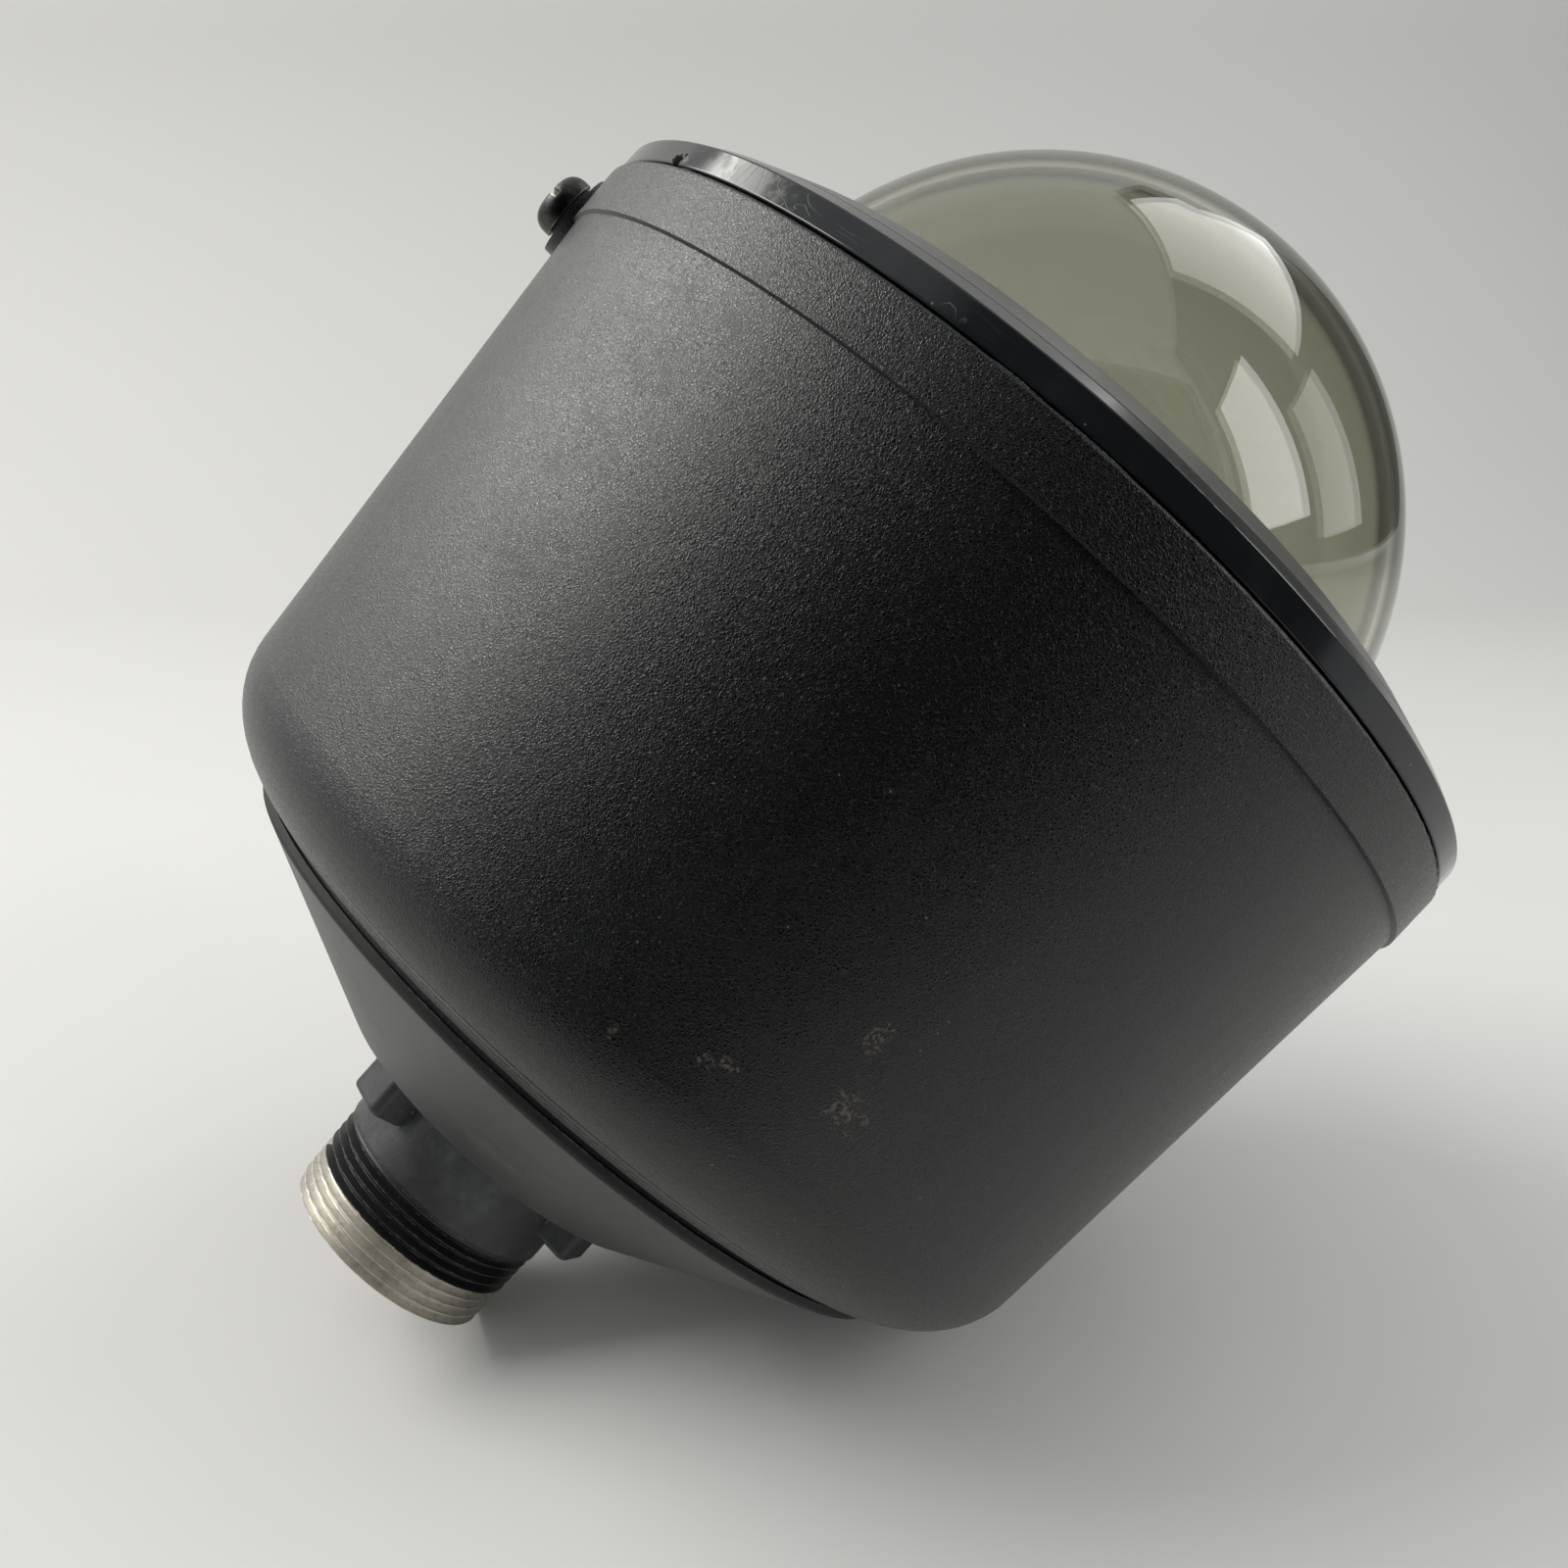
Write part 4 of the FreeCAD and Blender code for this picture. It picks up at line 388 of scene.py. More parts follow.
def cast_paint():
    """Satin black paint on the cast cap, rubbed off the first turns of its thread, with a painted
    bluish sheen on the neck and painted shade on the side of the rim.
    """
    tint = colours()
    material, t, shader = finish("cast_paint", IOR=1.5)
    z = t.axis("Z")
    x = t.axis("X")
    y = t.axis("Y")
    angle = t.math("ARCTAN2", t.math("MULTIPLY", y, -1.0), t.math("MULTIPLY", x, -1.0))
    rise = t.math("MULTIPLY", angle, sizes().thread_pitch / FULL_TURN)
    level = t.math("SUBTRACT", z, rise)
    ragged = t.noise(420.0, 4.0, 0.7)
    level = t.math("ADD", level, t.math("MULTIPLY", t.math("SUBTRACT", ragged, 0.5), 0.0016))
    bare = t.between(level, 0.00115, 0.00140)
    rubbed = t.use(worn_edges(), {"Width": 0.0005, "Amount": 0.10})
    neck = t.between(z, -0.030, -0.020)
    rubbed = t.math("MULTIPLY", rubbed, t.math("ADD", t.math("MULTIPLY", neck, 0.5), 0.25))
    film = t.use(handled_patches(), {"Density": 22.0, "Start": 0.45})
    paint = t.mix(film, tuple(tint.paint), tuple(min(1.0, 1.9 * c) for c in tint.paint))
    # Painted sheen: bluish patches mixed into the paint colour on the neck stand in for a soft
    # reflection there.
    painted_neck_sheen = t.math("MULTIPLY", t.use(handled_patches(), {"Density": 60.0, "Start": 0.44}), neck)
    paint = t.mix(t.math("MULTIPLY", painted_neck_sheen, 0.8), paint, (0.055, 0.062, 0.072))
    specks = t.use(dust_specks(), {"Density": 240.0, "Size": 0.10, "Amount": 0.06})
    paint = t.mix(t.math("MULTIPLY", specks, 0.7), paint, tuple(tint.dust))
    flat = t.stretch(t.place(), (1.0, 1.0, 0.0))
    radius = t.add("VectorMath", {0: flat}, out="Value", operation="LENGTH")
    # Painted shade: the side of the rim is darkened in the paint colour as if in shadow. The paint
    # on the thread stub is made darker too.
    rim = t.between(radius, 0.0808, 0.0814)
    threaded = t.between(z, THREAD_END - 0.0008, THREAD_END - 0.0002)
    paint = t.mix(t.math("MULTIPLY", t.most(rim, threaded), 0.85), paint,
                  tuple(0.20 * c for c in tint.paint))
    rubbed = t.math("MULTIPLY", rubbed, t.math("SUBTRACT", 1.0, t.math("MULTIPLY", threaded, 0.6)))
    stain = t.between(t.noise(520.0, 4.0, 0.65), 0.45, 0.72)
    metal = t.mix(stain, tuple(tint.aluminium), tuple(0.78 * c for c in tint.aluminium))
    shows = t.most(bare, t.math("MULTIPLY", rubbed, 0.55))
    t.feed(shader.inputs["Base Color"], t.mix(shows, paint, metal))
    t.feed(shader.inputs["Metallic"], shows)
    dull = t.math("ADD", t.math("MULTIPLY", film, 0.10), 0.42)
    dull = t.math("ADD", dull, t.math("MULTIPLY", bare, 0.03))
    dull = t.math("ADD", dull, t.math("MULTIPLY", rim, 0.25))
    t.feed(shader.inputs["Roughness"], dull)
    peel = bump(t, shader, t.use(orange_peel(), {"Cell": 0.0011}), 0.00007, 0.8)
    lines = t.use(drawn_lines(), {"Run": (0.02, 0.02, 1.0), "Density": 5000.0})
    bump(t, shader, t.math("MULTIPLY", lines, bare), 0.00008, 0.7, peel)
    return material


SHELL_DIRT = (
    ((-12.4, -100.6, -96.6), (3.0, 3.0, 3.4)),
    ((-17.1, -98.9, -85.5), (4.0, 4.5, 4.0)),
    ((1.4, -99.9, -79.5), (1.9, 2.0, 1.7)),
    ((4.6, -99.7, -77.8), (1.7, 2.0, 1.3)),
    ((17.7, -97.7, -71.9), (1.5, 2.0, 1.5)),
)
SHELL_SMUDGES = (
    ((80.5, -70.0, -162.0), (7.0, 7.0, 4.0)),
    ((78.0, -71.4, -150.0), (9.0, 9.0, 7.0)),
    ((72.5, -78.3, -162.0), (6.0, 6.0, 4.0)),
    ((76.7, -70.9, -135.0), (9.0, 9.0, 8.0)),
    ((72.5, -73.1, -116.5), (9.0, 9.0, 9.0)),
)


def metres(point):
    return tuple(value * MM for value in point)


def grained_shell():
    """Black plastic with a leather grain, dusty and marked, for the back box, with painted light
    on one side of the barrel.
    """
    tint = colours()
    material, t, shader = finish("grained_shell", IOR=1.56)
    z = t.axis("Z")
    flat = t.stretch(t.place(), (1.0, 1.0, 0.0))
    radius = t.add("VectorMath", {0: flat}, out="Value", operation="LENGTH")
    film = t.use(handled_patches(), {"Density": 14.0, "Start": 0.46})
    colour = t.mix(film, tuple(tint.shell), tuple(1.8 * c for c in tint.shell))
    # Painted light: one side of the barrel near the mouth is made a paler grey where the floor
    # lights it, broken up by the film patches.
    painted_side_light = t.math("MULTIPLY", t.between(t.axis("X"), -0.030, -0.075),
                     t.between(z, -0.175, -0.160, 0.35, 1.0))
    painted_side_light = t.math("MULTIPLY", painted_side_light, t.math("ADD", 0.65, t.math("MULTIPLY", film, 0.35)))
    colour = t.mix(painted_side_light, colour, (0.036, 0.037, 0.035))
    smudge = [t.use(ragged_spot(), {"Middle": metres(m), "Reach": metres(r), "Tear": 170.0})
              for m, r in SHELL_SMUDGES]
    smudge = t.math("MULTIPLY", t.most(*smudge), t.between(t.noise(520.0, 3.0, 0.7), 0.42, 0.60))
    specks = t.use(dust_specks(), {"Density": 420.0, "Size": 0.085, "Amount": 0.10})
    lint = t.use(fine_scratches(), {"Density": 120.0, "Width": 0.0012, "Amount": 0.16})
    pale = t.most(t.math("MULTIPLY", smudge, 0.04), t.math("MULTIPLY", specks, 0.55),
                  t.math("MULTIPLY", lint, 0.25))
    colour = t.mix(pale, colour, tuple(tint.dust))
    dirt = [t.use(ragged_spot(), {"Middle": metres(m), "Reach": metres(r), "Tear": 420.0})
            for m, r in SHELL_DIRT]
    dirt = t.math("MULTIPLY", t.most(*dirt), t.between(t.noise(1500.0, 2.0), 0.46, 0.62))
    colour = t.mix(t.math("MULTIPLY", dirt, 0.8), colour, tuple(tint.dirt))
    t.feed(shader.inputs["Base Color"], colour)
    inner = t.between(radius, 0.0850, 0.0864, 0.25, 1.0)
    grain = t.use(moulded_grain(), {"Cell": sizes().grain_cell})
    crease = t.math("MULTIPLY", t.math("SUBTRACT", 1.0, grain), inner)
    dull = t.math("ADD", 0.20, t.math("MULTIPLY", film, 0.08))
    dull = t.math("ADD", dull, t.math("MULTIPLY", crease, 0.20))
    dull = t.math("ADD", dull, t.math("MULTIPLY", smudge, 0.11))
    t.feed(shader.inputs["Roughness"], t.math("ADD", dull, t.math("MULTIPLY", dirt, 0.2)))
    above = t.between(z, -0.064, -0.058)
    ring = t.math("PINGPONG", t.math("SUBTRACT", radius, 0.0872), 0.00065)
    ring = t.between(ring, 0.0, 0.00030, 1.0, 0.0)
    inside = t.math("MULTIPLY", t.between(radius, 0.0868, 0.0871),
                    t.between(radius, 0.0912, 0.0915, 1.0, 0.0))
    ring = t.math("MULTIPLY", ring, t.math("MULTIPLY", inside, above))
    under = bump(t, shader, t.math("MULTIPLY", grain, inner), 0.00007, 0.75)
    bump(t, shader, ring, 0.00030, 1.0, under)
    return material


def gloss_trim():
    """Glossy black plastic of the trim ring, with hairlines, scuffs and one chip whose hollow is
    painted near black as shade.
    """
    tint = colours()
    material, t, shader = finish("gloss_trim", IOR=1.5)
    film = t.use(handled_patches(), {"Density": 26.0, "Start": 0.47})
    lines = t.use(fine_scratches(), {"Density": 90.0, "Run": (1.0, 1.0, 3.0),
                                     "Width": 0.0022, "Amount": 0.30})
    chip = t.use(ragged_spot(), {"Middle": (0.0970, -0.0465, -0.1818),
                                 "Reach": (0.0024, 0.0024, 0.0020), "Tear": 700.0})
    chip = t.between(chip, 0.40, 0.55)
    crack = t.use(ragged_spot(), {"Middle": (0.0970, -0.0465, -0.1816),
                                  "Reach": (0.0036, 0.0036, 0.0020), "Tear": 700.0})
    crack = t.math("MULTIPLY", crack, t.between(t.noise(1500.0, 2.0, 0.6), 0.50, 0.58))
    flat = t.stretch(t.place(), (1.0, 1.0, 0.0))
    radius = t.add("VectorMath", {0: flat}, out="Value", operation="LENGTH")
    slope = t.math("MULTIPLY", t.between(radius, 0.1030, 0.1038, 1.0, 0.0),
                   t.between(radius, 0.0860, 0.0880))
    rubbed = t.add("TexNoise", {"W": radius, "Scale": 2600.0, "Detail": 2.0},
                   noise_dimensions="1D")
    rubbed = t.math("ADD", t.math("MULTIPLY", t.between(rubbed, 0.35, 0.65), 0.35),
                    t.math("MULTIPLY", film, 0.65))
    scuff = t.use(ragged_spot(), {"Middle": (0.0850, -0.0660, -0.1835),
                                  "Reach": (0.012, 0.012, 0.004), "Tear": 210.0})
    hair = t.use(ragged_spot(), {"Middle": (0.0495, -0.0955, -0.1835),
                                 "Reach": (0.007, 0.007, 0.003), "Tear": 60.0})
    streak = t.use(fine_scratches(), {"Density": 260.0, "Run": (1.0, 1.0, 0.3),
                                      "Width": 0.012, "Amount": 0.6})
    streak = t.math("MULTIPLY", streak, t.most(hair, scuff))
    colour = t.mix(t.math("MULTIPLY", film, 0.5), tuple(tint.trim),
                   tuple(2.2 * c for c in tint.trim))
    specks = t.use(dust_specks(), {"Density": 300.0, "Size": 0.09, "Amount": 0.12})
    dusty = t.math("MULTIPLY", slope, t.math("ADD", 0.12, t.math("MULTIPLY", rubbed, 0.32)))
    pale = t.most(t.math("MULTIPLY", specks, 0.5), t.math("MULTIPLY", streak, 0.8),
                  t.math("MULTIPLY", crack, 0.6), dusty)
    colour = t.mix(pale, colour, tuple(tint.dust))
    # Painted shade: the chip's hollow is coloured near black, metallic and rough so that it
    # reflects almost nothing, as if in shadow.
    t.feed(shader.inputs["Base Color"], t.mix(chip, colour, (0.0010, 0.0010, 0.0011)))
    dull = t.math("ADD", 0.13, t.math("MULTIPLY", film, 0.10))
    dull = t.math("ADD", dull, t.math("MULTIPLY", t.most(lines, streak, scuff), 0.12))
    dull = t.math("ADD", dull, t.math("MULTIPLY", slope, 0.16))
    t.feed(shader.inputs["Roughness"], t.most(dull, t.math("MULTIPLY", chip, 0.9)))
    t.feed(shader.inputs["Metallic"], chip)
    wave = bump(t, shader, t.noise(70.0, 1.0, 0.4), 0.00030, 0.35)
    dent = t.math("SUBTRACT", 1.0, t.most(t.math("MULTIPLY", lines, 0.5), streak, crack))
    dent = t.math("SUBTRACT", dent, t.math("MULTIPLY", chip, 6.0))
    bump(t, shader, dent, 0.00005, 0.6, wave)
    return material


def smoked_dome():
    """Clear acrylic with a smoke tint, faintly dusty."""
    tint = colours()
    material, t, shader = finish("smoked_dome", IOR=1.49, Transmission_Weight=1.0)
    film = t.use(handled_patches(), {"Density": 20.0, "Start": 0.50})
    lines = t.use(fine_scratches(), {"Density": 45.0, "Width": 0.0016, "Amount": 0.25})
    specks = t.use(dust_specks(), {"Density": 230.0, "Size": 0.06, "Amount": 0.10})
    slant = t.add("LayerWeight", {"Blend": 0.5}, out="Facing")
    colour = t.mix(t.between(slant, 0.10, 0.75), tuple(tint.dome),
                   tuple(c ** 1.35 for c in tint.dome))
    colour = t.mix(t.between(slant, 0.71, 0.79), colour, tuple(c ** 8.0 for c in tint.dome))
    colour = t.mix(t.math("MULTIPLY", film, 0.12), colour, (0.45, 0.46, 0.40))
    colour = t.mix(t.math("MULTIPLY", specks, 0.35), colour, (0.25, 0.25, 0.23))
    t.feed(shader.inputs["Base Color"], colour)
    dull = t.math("ADD", t.math("MULTIPLY", film, 0.015), t.math("MULTIPLY", lines, 0.10))
    t.feed(shader.inputs["Roughness"], dull)
    bump(t, shader, t.noise(25.0, 1.0, 0.4), 0.0002, 0.15)
    return material


def seal_foam():
    """Closed cell foam rubber of the gaskets and pads."""
    material, t, shader = finish("seal_foam", IOR=1.5)
    pores = t.add("TexVoronoi", {"Vector": t.place(), "Scale": 2200.0}, out="Distance")
    colour = t.mix(t.between(pores, 0.1, 0.5), (0.006, 0.006, 0.007), (0.022, 0.022, 0.023))
    t.feed(shader.inputs["Base Color"], colour)
    t.feed(shader.inputs["Roughness"], t.between(pores, 0.0, 0.6, 0.9, 0.7))
    bump(t, shader, pores, 0.00012, 0.7)
    return material


def grommet_skin():
    """Moulded soft rubber of the cable grommet, with a bloom of talc."""
    material, t, shader = finish("grommet_skin", IOR=1.5)
    bloom = t.use(handled_patches(), {"Density": 55.0, "Start": 0.48})
    colour = t.mix(bloom, (0.012, 0.012, 0.012), (0.045, 0.045, 0.044))
    t.feed(shader.inputs["Base Color"], colour)
    t.feed(shader.inputs["Roughness"], t.math("ADD", 0.5, t.math("MULTIPLY", bloom, 0.2)))
    bump(t, shader, t.use(orange_peel(), {"Cell": 0.0014}), 0.0001, 0.5)
    return material


def zinc_plate():
    """Zinc plated sheet: crystal bloom, rolling lines and worn edges."""
    tint = colours()
    material, t, shader = finish("zinc_plate", Metallic=1.0)
    bloom = t.add("TexVoronoi", {"Vector": t.place(), "Scale": 190.0}, out="Color")
    bloom = t.axis("X", bloom)
    film = t.use(handled_patches(), {"Density": 45.0, "Start": 0.46})
    colour = t.mix(bloom, tuple(tint.zinc), tuple(0.80 * c for c in tint.zinc))
    colour = t.mix(t.math("MULTIPLY", film, 0.5), colour, (0.44, 0.43, 0.38))
    edge = t.use(worn_edges(), {"Width": 0.0004, "Amount": 0.2})
    colour = t.mix(edge, colour, (0.78, 0.78, 0.77))
    t.feed(shader.inputs["Base Color"], colour)
    dull = t.math("ADD", 0.30, t.math("MULTIPLY", bloom, 0.08))
    dull = t.math("ADD", dull, t.math("MULTIPLY", film, 0.14))
    t.feed(shader.inputs["Roughness"], dull)
    lines = t.use(drawn_lines(), {"Run": (0.03, 1.0, 1.0), "Density": 2600.0})
    bump(t, shader, lines, 0.00003, 0.5)
    return material


def turned_metal(name, colour, dark, dull, axis, pitch):
    """Plated turned parts, with tool marks, a worn edge and the rings of a thread."""
    material, t, shader = finish(name, Metallic=1.0)
    film = t.use(handled_patches(), {"Density": 160.0, "Start": 0.45})
    mixed = t.mix(film, colour, dark)
    edge = t.use(worn_edges(), {"Width": 0.0003, "Amount": 0.25})
    mixed = t.mix(edge, mixed, tuple(min(0.85, 1.25 * c) for c in colour))
    t.feed(shader.inputs["Base Color"], mixed)
    t.feed(shader.inputs["Roughness"], t.math("ADD", dull, t.math("MULTIPLY", film, 0.12)))
    lines = t.use(thread_lines(), {"Axis": axis, "Pitch": pitch})
    marks = t.noise(1800.0, 3.0, 0.6)
    height = t.math("ADD", t.math("MULTIPLY", lines, 0.6), t.math("MULTIPLY", marks, 0.2))
    bump(t, shader, height, 0.00018, 0.6)
    return material


def black_oxide():
    """Blackened steel of the latch screws, rubbed bright on their slot and rim."""
    material, t, shader = finish("black_oxide", Metallic=1.0)
    film = t.use(handled_patches(), {"Density": 200.0, "Start": 0.42})
    colour = t.mix(film, (0.030, 0.030, 0.031), (0.075, 0.072, 0.066))
    edge = t.use(worn_edges(), {"Width": 0.0004, "Amount": 0.35})
    colour = t.mix(t.math("MULTIPLY", edge, 0.7), colour, (0.42, 0.40, 0.37))
    t.feed(shader.inputs["Base Color"], colour)
    t.feed(shader.inputs["Roughness"], t.math("ADD", 0.33, t.math("MULTIPLY", film, 0.15)))
    bump(t, shader, t.use(orange_peel(), {"Cell": 0.0006}), 0.00005, 0.6)
    return material


def moulded_plain(name, colour, pale, dull, cell, through=0.0):
    """Small plain mouldings: sink, flow marks and a little dust."""
    material, t, shader = finish(name, IOR=1.5, Subsurface_Weight=through)
    shader.inputs["Subsurface Scale"].default_value = 0.001
    flow = t.use(handled_patches(), {"Density": 120.0, "Start": 0.46})
    mixed = t.mix(flow, colour, pale)
    specks = t.use(dust_specks(), {"Density": 700.0, "Size": 0.10, "Amount": 0.10})
    mixed = t.mix(t.math("MULTIPLY", specks, 0.4), mixed, tuple(colours().dust))
    t.feed(shader.inputs["Base Color"], mixed)
    t.feed(shader.inputs["Roughness"], t.math("ADD", dull, t.math("MULTIPLY", flow, 0.1)))
    bump(t, shader, t.use(orange_peel(), {"Cell": cell}), 0.00005, 0.6)
    return material


def board_mask():
    """Green solder mask over copper tracks, on a glass laminate."""
    material, t, shader = finish("board_mask", IOR=1.5)
    at = t.stretch(t.place(), (1.0, 1.0, 0.0))
    tracks = t.add("TexBrick", {"Vector": at, "Scale": 130.0, "Mortar Size": 0.10,
                                "Brick Width": 0.9, "Row Height": 0.33,
                                "Mortar Smooth": 0.1}, out="Fac")
    weave = t.use(drawn_lines(), {"Run": (1.0, 1.0, 0.2), "Density": 1500.0})
    colour = t.mix(tracks, (0.012, 0.090, 0.040), (0.006, 0.050, 0.024))
    colour = t.mix(t.math("MULTIPLY", weave, 0.25), colour, (0.05, 0.12, 0.05))
    edge = t.use(worn_edges(), {"Width": 0.0004, "Amount": 0.4})
    colour = t.mix(edge, colour, (0.35, 0.33, 0.18))
    t.feed(shader.inputs["Base Color"], colour)
    t.feed(shader.inputs["Roughness"], t.math("ADD", 0.22, t.math("MULTIPLY", weave, 0.15)))
    bump(t, shader, t.math("SUBTRACT", 1.0, tracks), 0.00005, 0.5)
    return material


def table_cover():
    """Pale paper of the table and backdrop, seen from its upper side only, with painted shade
    darkening it towards the back.
    """
    material, t, shader = finish("table_cover", IOR=1.3, Roughness=0.95)
    given = tuple(bpy.context.scene.housing_stage.floor)
    cloud = t.between(t.noise(5.0, 3.0, 0.5), 0.3, 0.7)
    cover = t.mix(cloud, given, tuple(0.97 * c for c in given))
    # Painted shade: the paper colour is made darker towards the back of the table and up the
    # backdrop, where less light reaches it.
    gone = t.shift("SUBTRACT", t.place(), tuple(TABLE_POINT))
    depth = t.add("VectorMath", {0: gone, 1: tuple(TABLE_DEPTH)}, out="Value",
                  operation="DOT_PRODUCT")
    far = t.between(depth, -0.10, 1.10)
    t.feed(shader.inputs["Base Color"], t.mix(far, cover, tuple(0.80 * c for c in given)))
    bump(t, shader, t.noise(60.0, 3.0, 0.5), 0.0006, 0.25)
    nodes = material.node_tree.nodes
    behind = t.add("NewGeometry", out="Backfacing")
    seen = t.add("LightPath", out="Is Camera Ray")
    share = t.math("MULTIPLY", behind, seen)
    clear = t.add("BsdfTransparent")
    both = t.add("MixShader", {0: share, 1: shader.outputs[0], 2: clear})
    t.feed(nodes["Material Output"].inputs["Surface"], both)
    return material


def dark_cloth(name, colour):
    """Woven cloth of a screen."""
    material, t, shader = finish(name, IOR=1.3)
    weave = t.noise(900.0, 1.0, 0.5)
    t.feed(shader.inputs["Base Color"], t.mix(weave, colour, tuple(2.0 * c for c in colour)))
    t.feed(shader.inputs["Roughness"], t.between(weave, 0.3, 0.7, 0.9, 1.0))
    return material


def wear(material, *nodes):
    """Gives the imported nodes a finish."""
    for node in nodes:
        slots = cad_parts[node].material_slots
        if not slots:
            raise RuntimeError(f"{node} has no material slot to take {material.name}")
        for slot in slots:
            slot.material = material


# ---------------------------------------------------------------- pieces


def new_piece(name, points, faces, materials, body, marks=None, crease=35.0):
    """A mesh piece in the row frame that rides on a body."""
    mesh = bpy.data.meshes.new(name)
    mesh.from_pydata(points, [], faces)
    mesh.validate()
    for material in materials:
        mesh.materials.append(material)
    if marks:
        mesh.polygons.foreach_set("material_index", marks)
    mesh.shade_smooth()
    mesh.set_sharp_from_angle(angle=math.radians(crease))
    piece = bpy.data.objects.new(name, mesh)
    bpy.context.scene.collection.objects.link(piece)
    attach(piece, body)
    return piece


def add_turned(points, faces, marks, outline, base, axis, around=28):
    """Adds a turned solid: outline is (along, radius, mark of the face that follows)."""
    axis = Vector(axis).normalized()
    side = axis.orthogonal().normalized()
    other = axis.cross(side)
    first = len(points)
    for along, radius, _mark in outline:
        for step in range(around):
            turn = FULL_TURN * step / around
            out = side * math.cos(turn) + other * math.sin(turn)
            points.append(Vector(base) + axis * along + out * radius)
    for ring in range(len(outline) - 1):
        for step in range(around):
            a = first + ring * around + step
            b = first + ring * around + (step + 1) % around
            faces.append((a, b, b + around, a + around))
            marks.append(outline[ring][2])
    last = first + (len(outline) - 1) * around
    faces.append(tuple(first + step for step in reversed(range(around))))
    faces.append(tuple(last + step for step in range(around)))
    marks.extend((outline[0][2], outline[-1][2]))


def add_wire(points, faces, marks, route, radius, mark, around=8):
    """Adds a bent wire along a few points."""
    first = len(points)
    route = [Vector(p) for p in route]
    side = Vector((0.0, 1.0, 0.0))
    for index, point in enumerate(route):
        before = route[max(0, index - 1)]
        after = route[min(len(route) - 1, index + 1)]
        ahead = (after - before).normalized()
        other = ahead.cross(side).normalized()
        for step in range(around):
            turn = FULL_TURN * step / around
            points.append(point + (side * math.cos(turn) + other * math.sin(turn)) * radius)
    for ring in range(len(route) - 1):
        for step in range(around):
            a = first + ring * around + step
            b = first + ring * around + (step + 1) % around
            faces.append((a, b, b + around, a + around))
            marks.append(mark)
    last = first + (len(route) - 1) * around
    faces.append(tuple(first + step for step in reversed(range(around))))
    faces.append(tuple(last + step for step in range(around)))
    marks.extend((mark, mark))


def thread_radius(turn, level):
    """Radius of the pipe thread at an angle and a height."""
    pitch = sizes().thread_pitch
    depth = sizes().thread_depth
    crest = STUB_RADIUS - (level - THREAD_END) / 32.0
    phase = (level / pitch - turn / FULL_TURN) % 1.0
    fall = abs(2.0 * phase - 1.0)
    fall = min(1.0, max(0.0, (fall - 0.10) / 0.82))
    run_out = min(1.0, max(0.0, (level - THREAD_END) / (0.9 * pitch)))
    radius = crest - depth * (1.0 - fall) * run_out
    chamfer = STUB_RADIUS - 0.0009 + (STUB_TOP - level)
    return min(radius, chamfer)


class HOUSING_OT_cut_thread(bpy.types.Operator):
    """Cuts the tapered pipe thread into the stub of the cap"""

    bl_idname = "housing.cut_thread"
    bl_label = "Cut the pipe thread"

    around = 160
    levels = 260

    def execute(self, context):
        paint = cast_paint()
        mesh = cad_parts["pendant_cap"].data.copy()
        mesh.name = "cap_casting"
        shape = bmesh.new()
        shape.from_mesh(mesh)
        gone = []
        for face in shape.faces:
            spots = [v.co for v in face.verts]
            radii = [math.hypot(p.x, p.y) for p in spots]
            low = min(p.z for p in spots)
            outside = min(radii) > STUB_RADIUS - 0.0012 and low > THREAD_END - 0.00001
            wall = outside and max(p.z for p in spots) > THREAD_END + 0.00001
            end = low > STUB_TOP - 0.00001
            if wall or end:
                gone.append(face)
        if not gone:
            raise RuntimeError("the plain stub of the cap wasn't found")
        bmesh.ops.delete(shape, geom=gone, context="FACES")
        shape.to_mesh(mesh)
        shape.free()
        mesh.materials.clear()
        mesh.materials.append(paint)
        casting = bpy.data.objects.new("cap_casting", mesh)
        context.scene.collection.objects.link(casting)
        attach(casting, "housing")
        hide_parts("pendant_cap")

        points, faces = [], []
        for row in range(self.levels + 1):
            level = THREAD_END + (STUB_TOP - THREAD_END) * row / self.levels
            for step in range(self.around):
                turn = FULL_TURN * step / self.around
                radius = thread_radius(turn, level)
                points.append((radius * math.cos(turn), radius * math.sin(turn), level))
        for step in range(self.around):
            turn = FULL_TURN * step / self.around
            points.append((0.01847 * math.cos(turn), 0.01847 * math.sin(turn), STUB_TOP))
        for row in range(self.levels + 1):
            for step in range(self.around):
                a = row * self.around + step
                b = row * self.around + (step + 1) % self.around
                faces.append((a, b, b + self.around, a + self.around))
        piece = new_piece("pipe_thread", points, faces, [paint], "housing",
                          crease=38.0)
        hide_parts("pendant_cap")
        return {"FINISHED"}


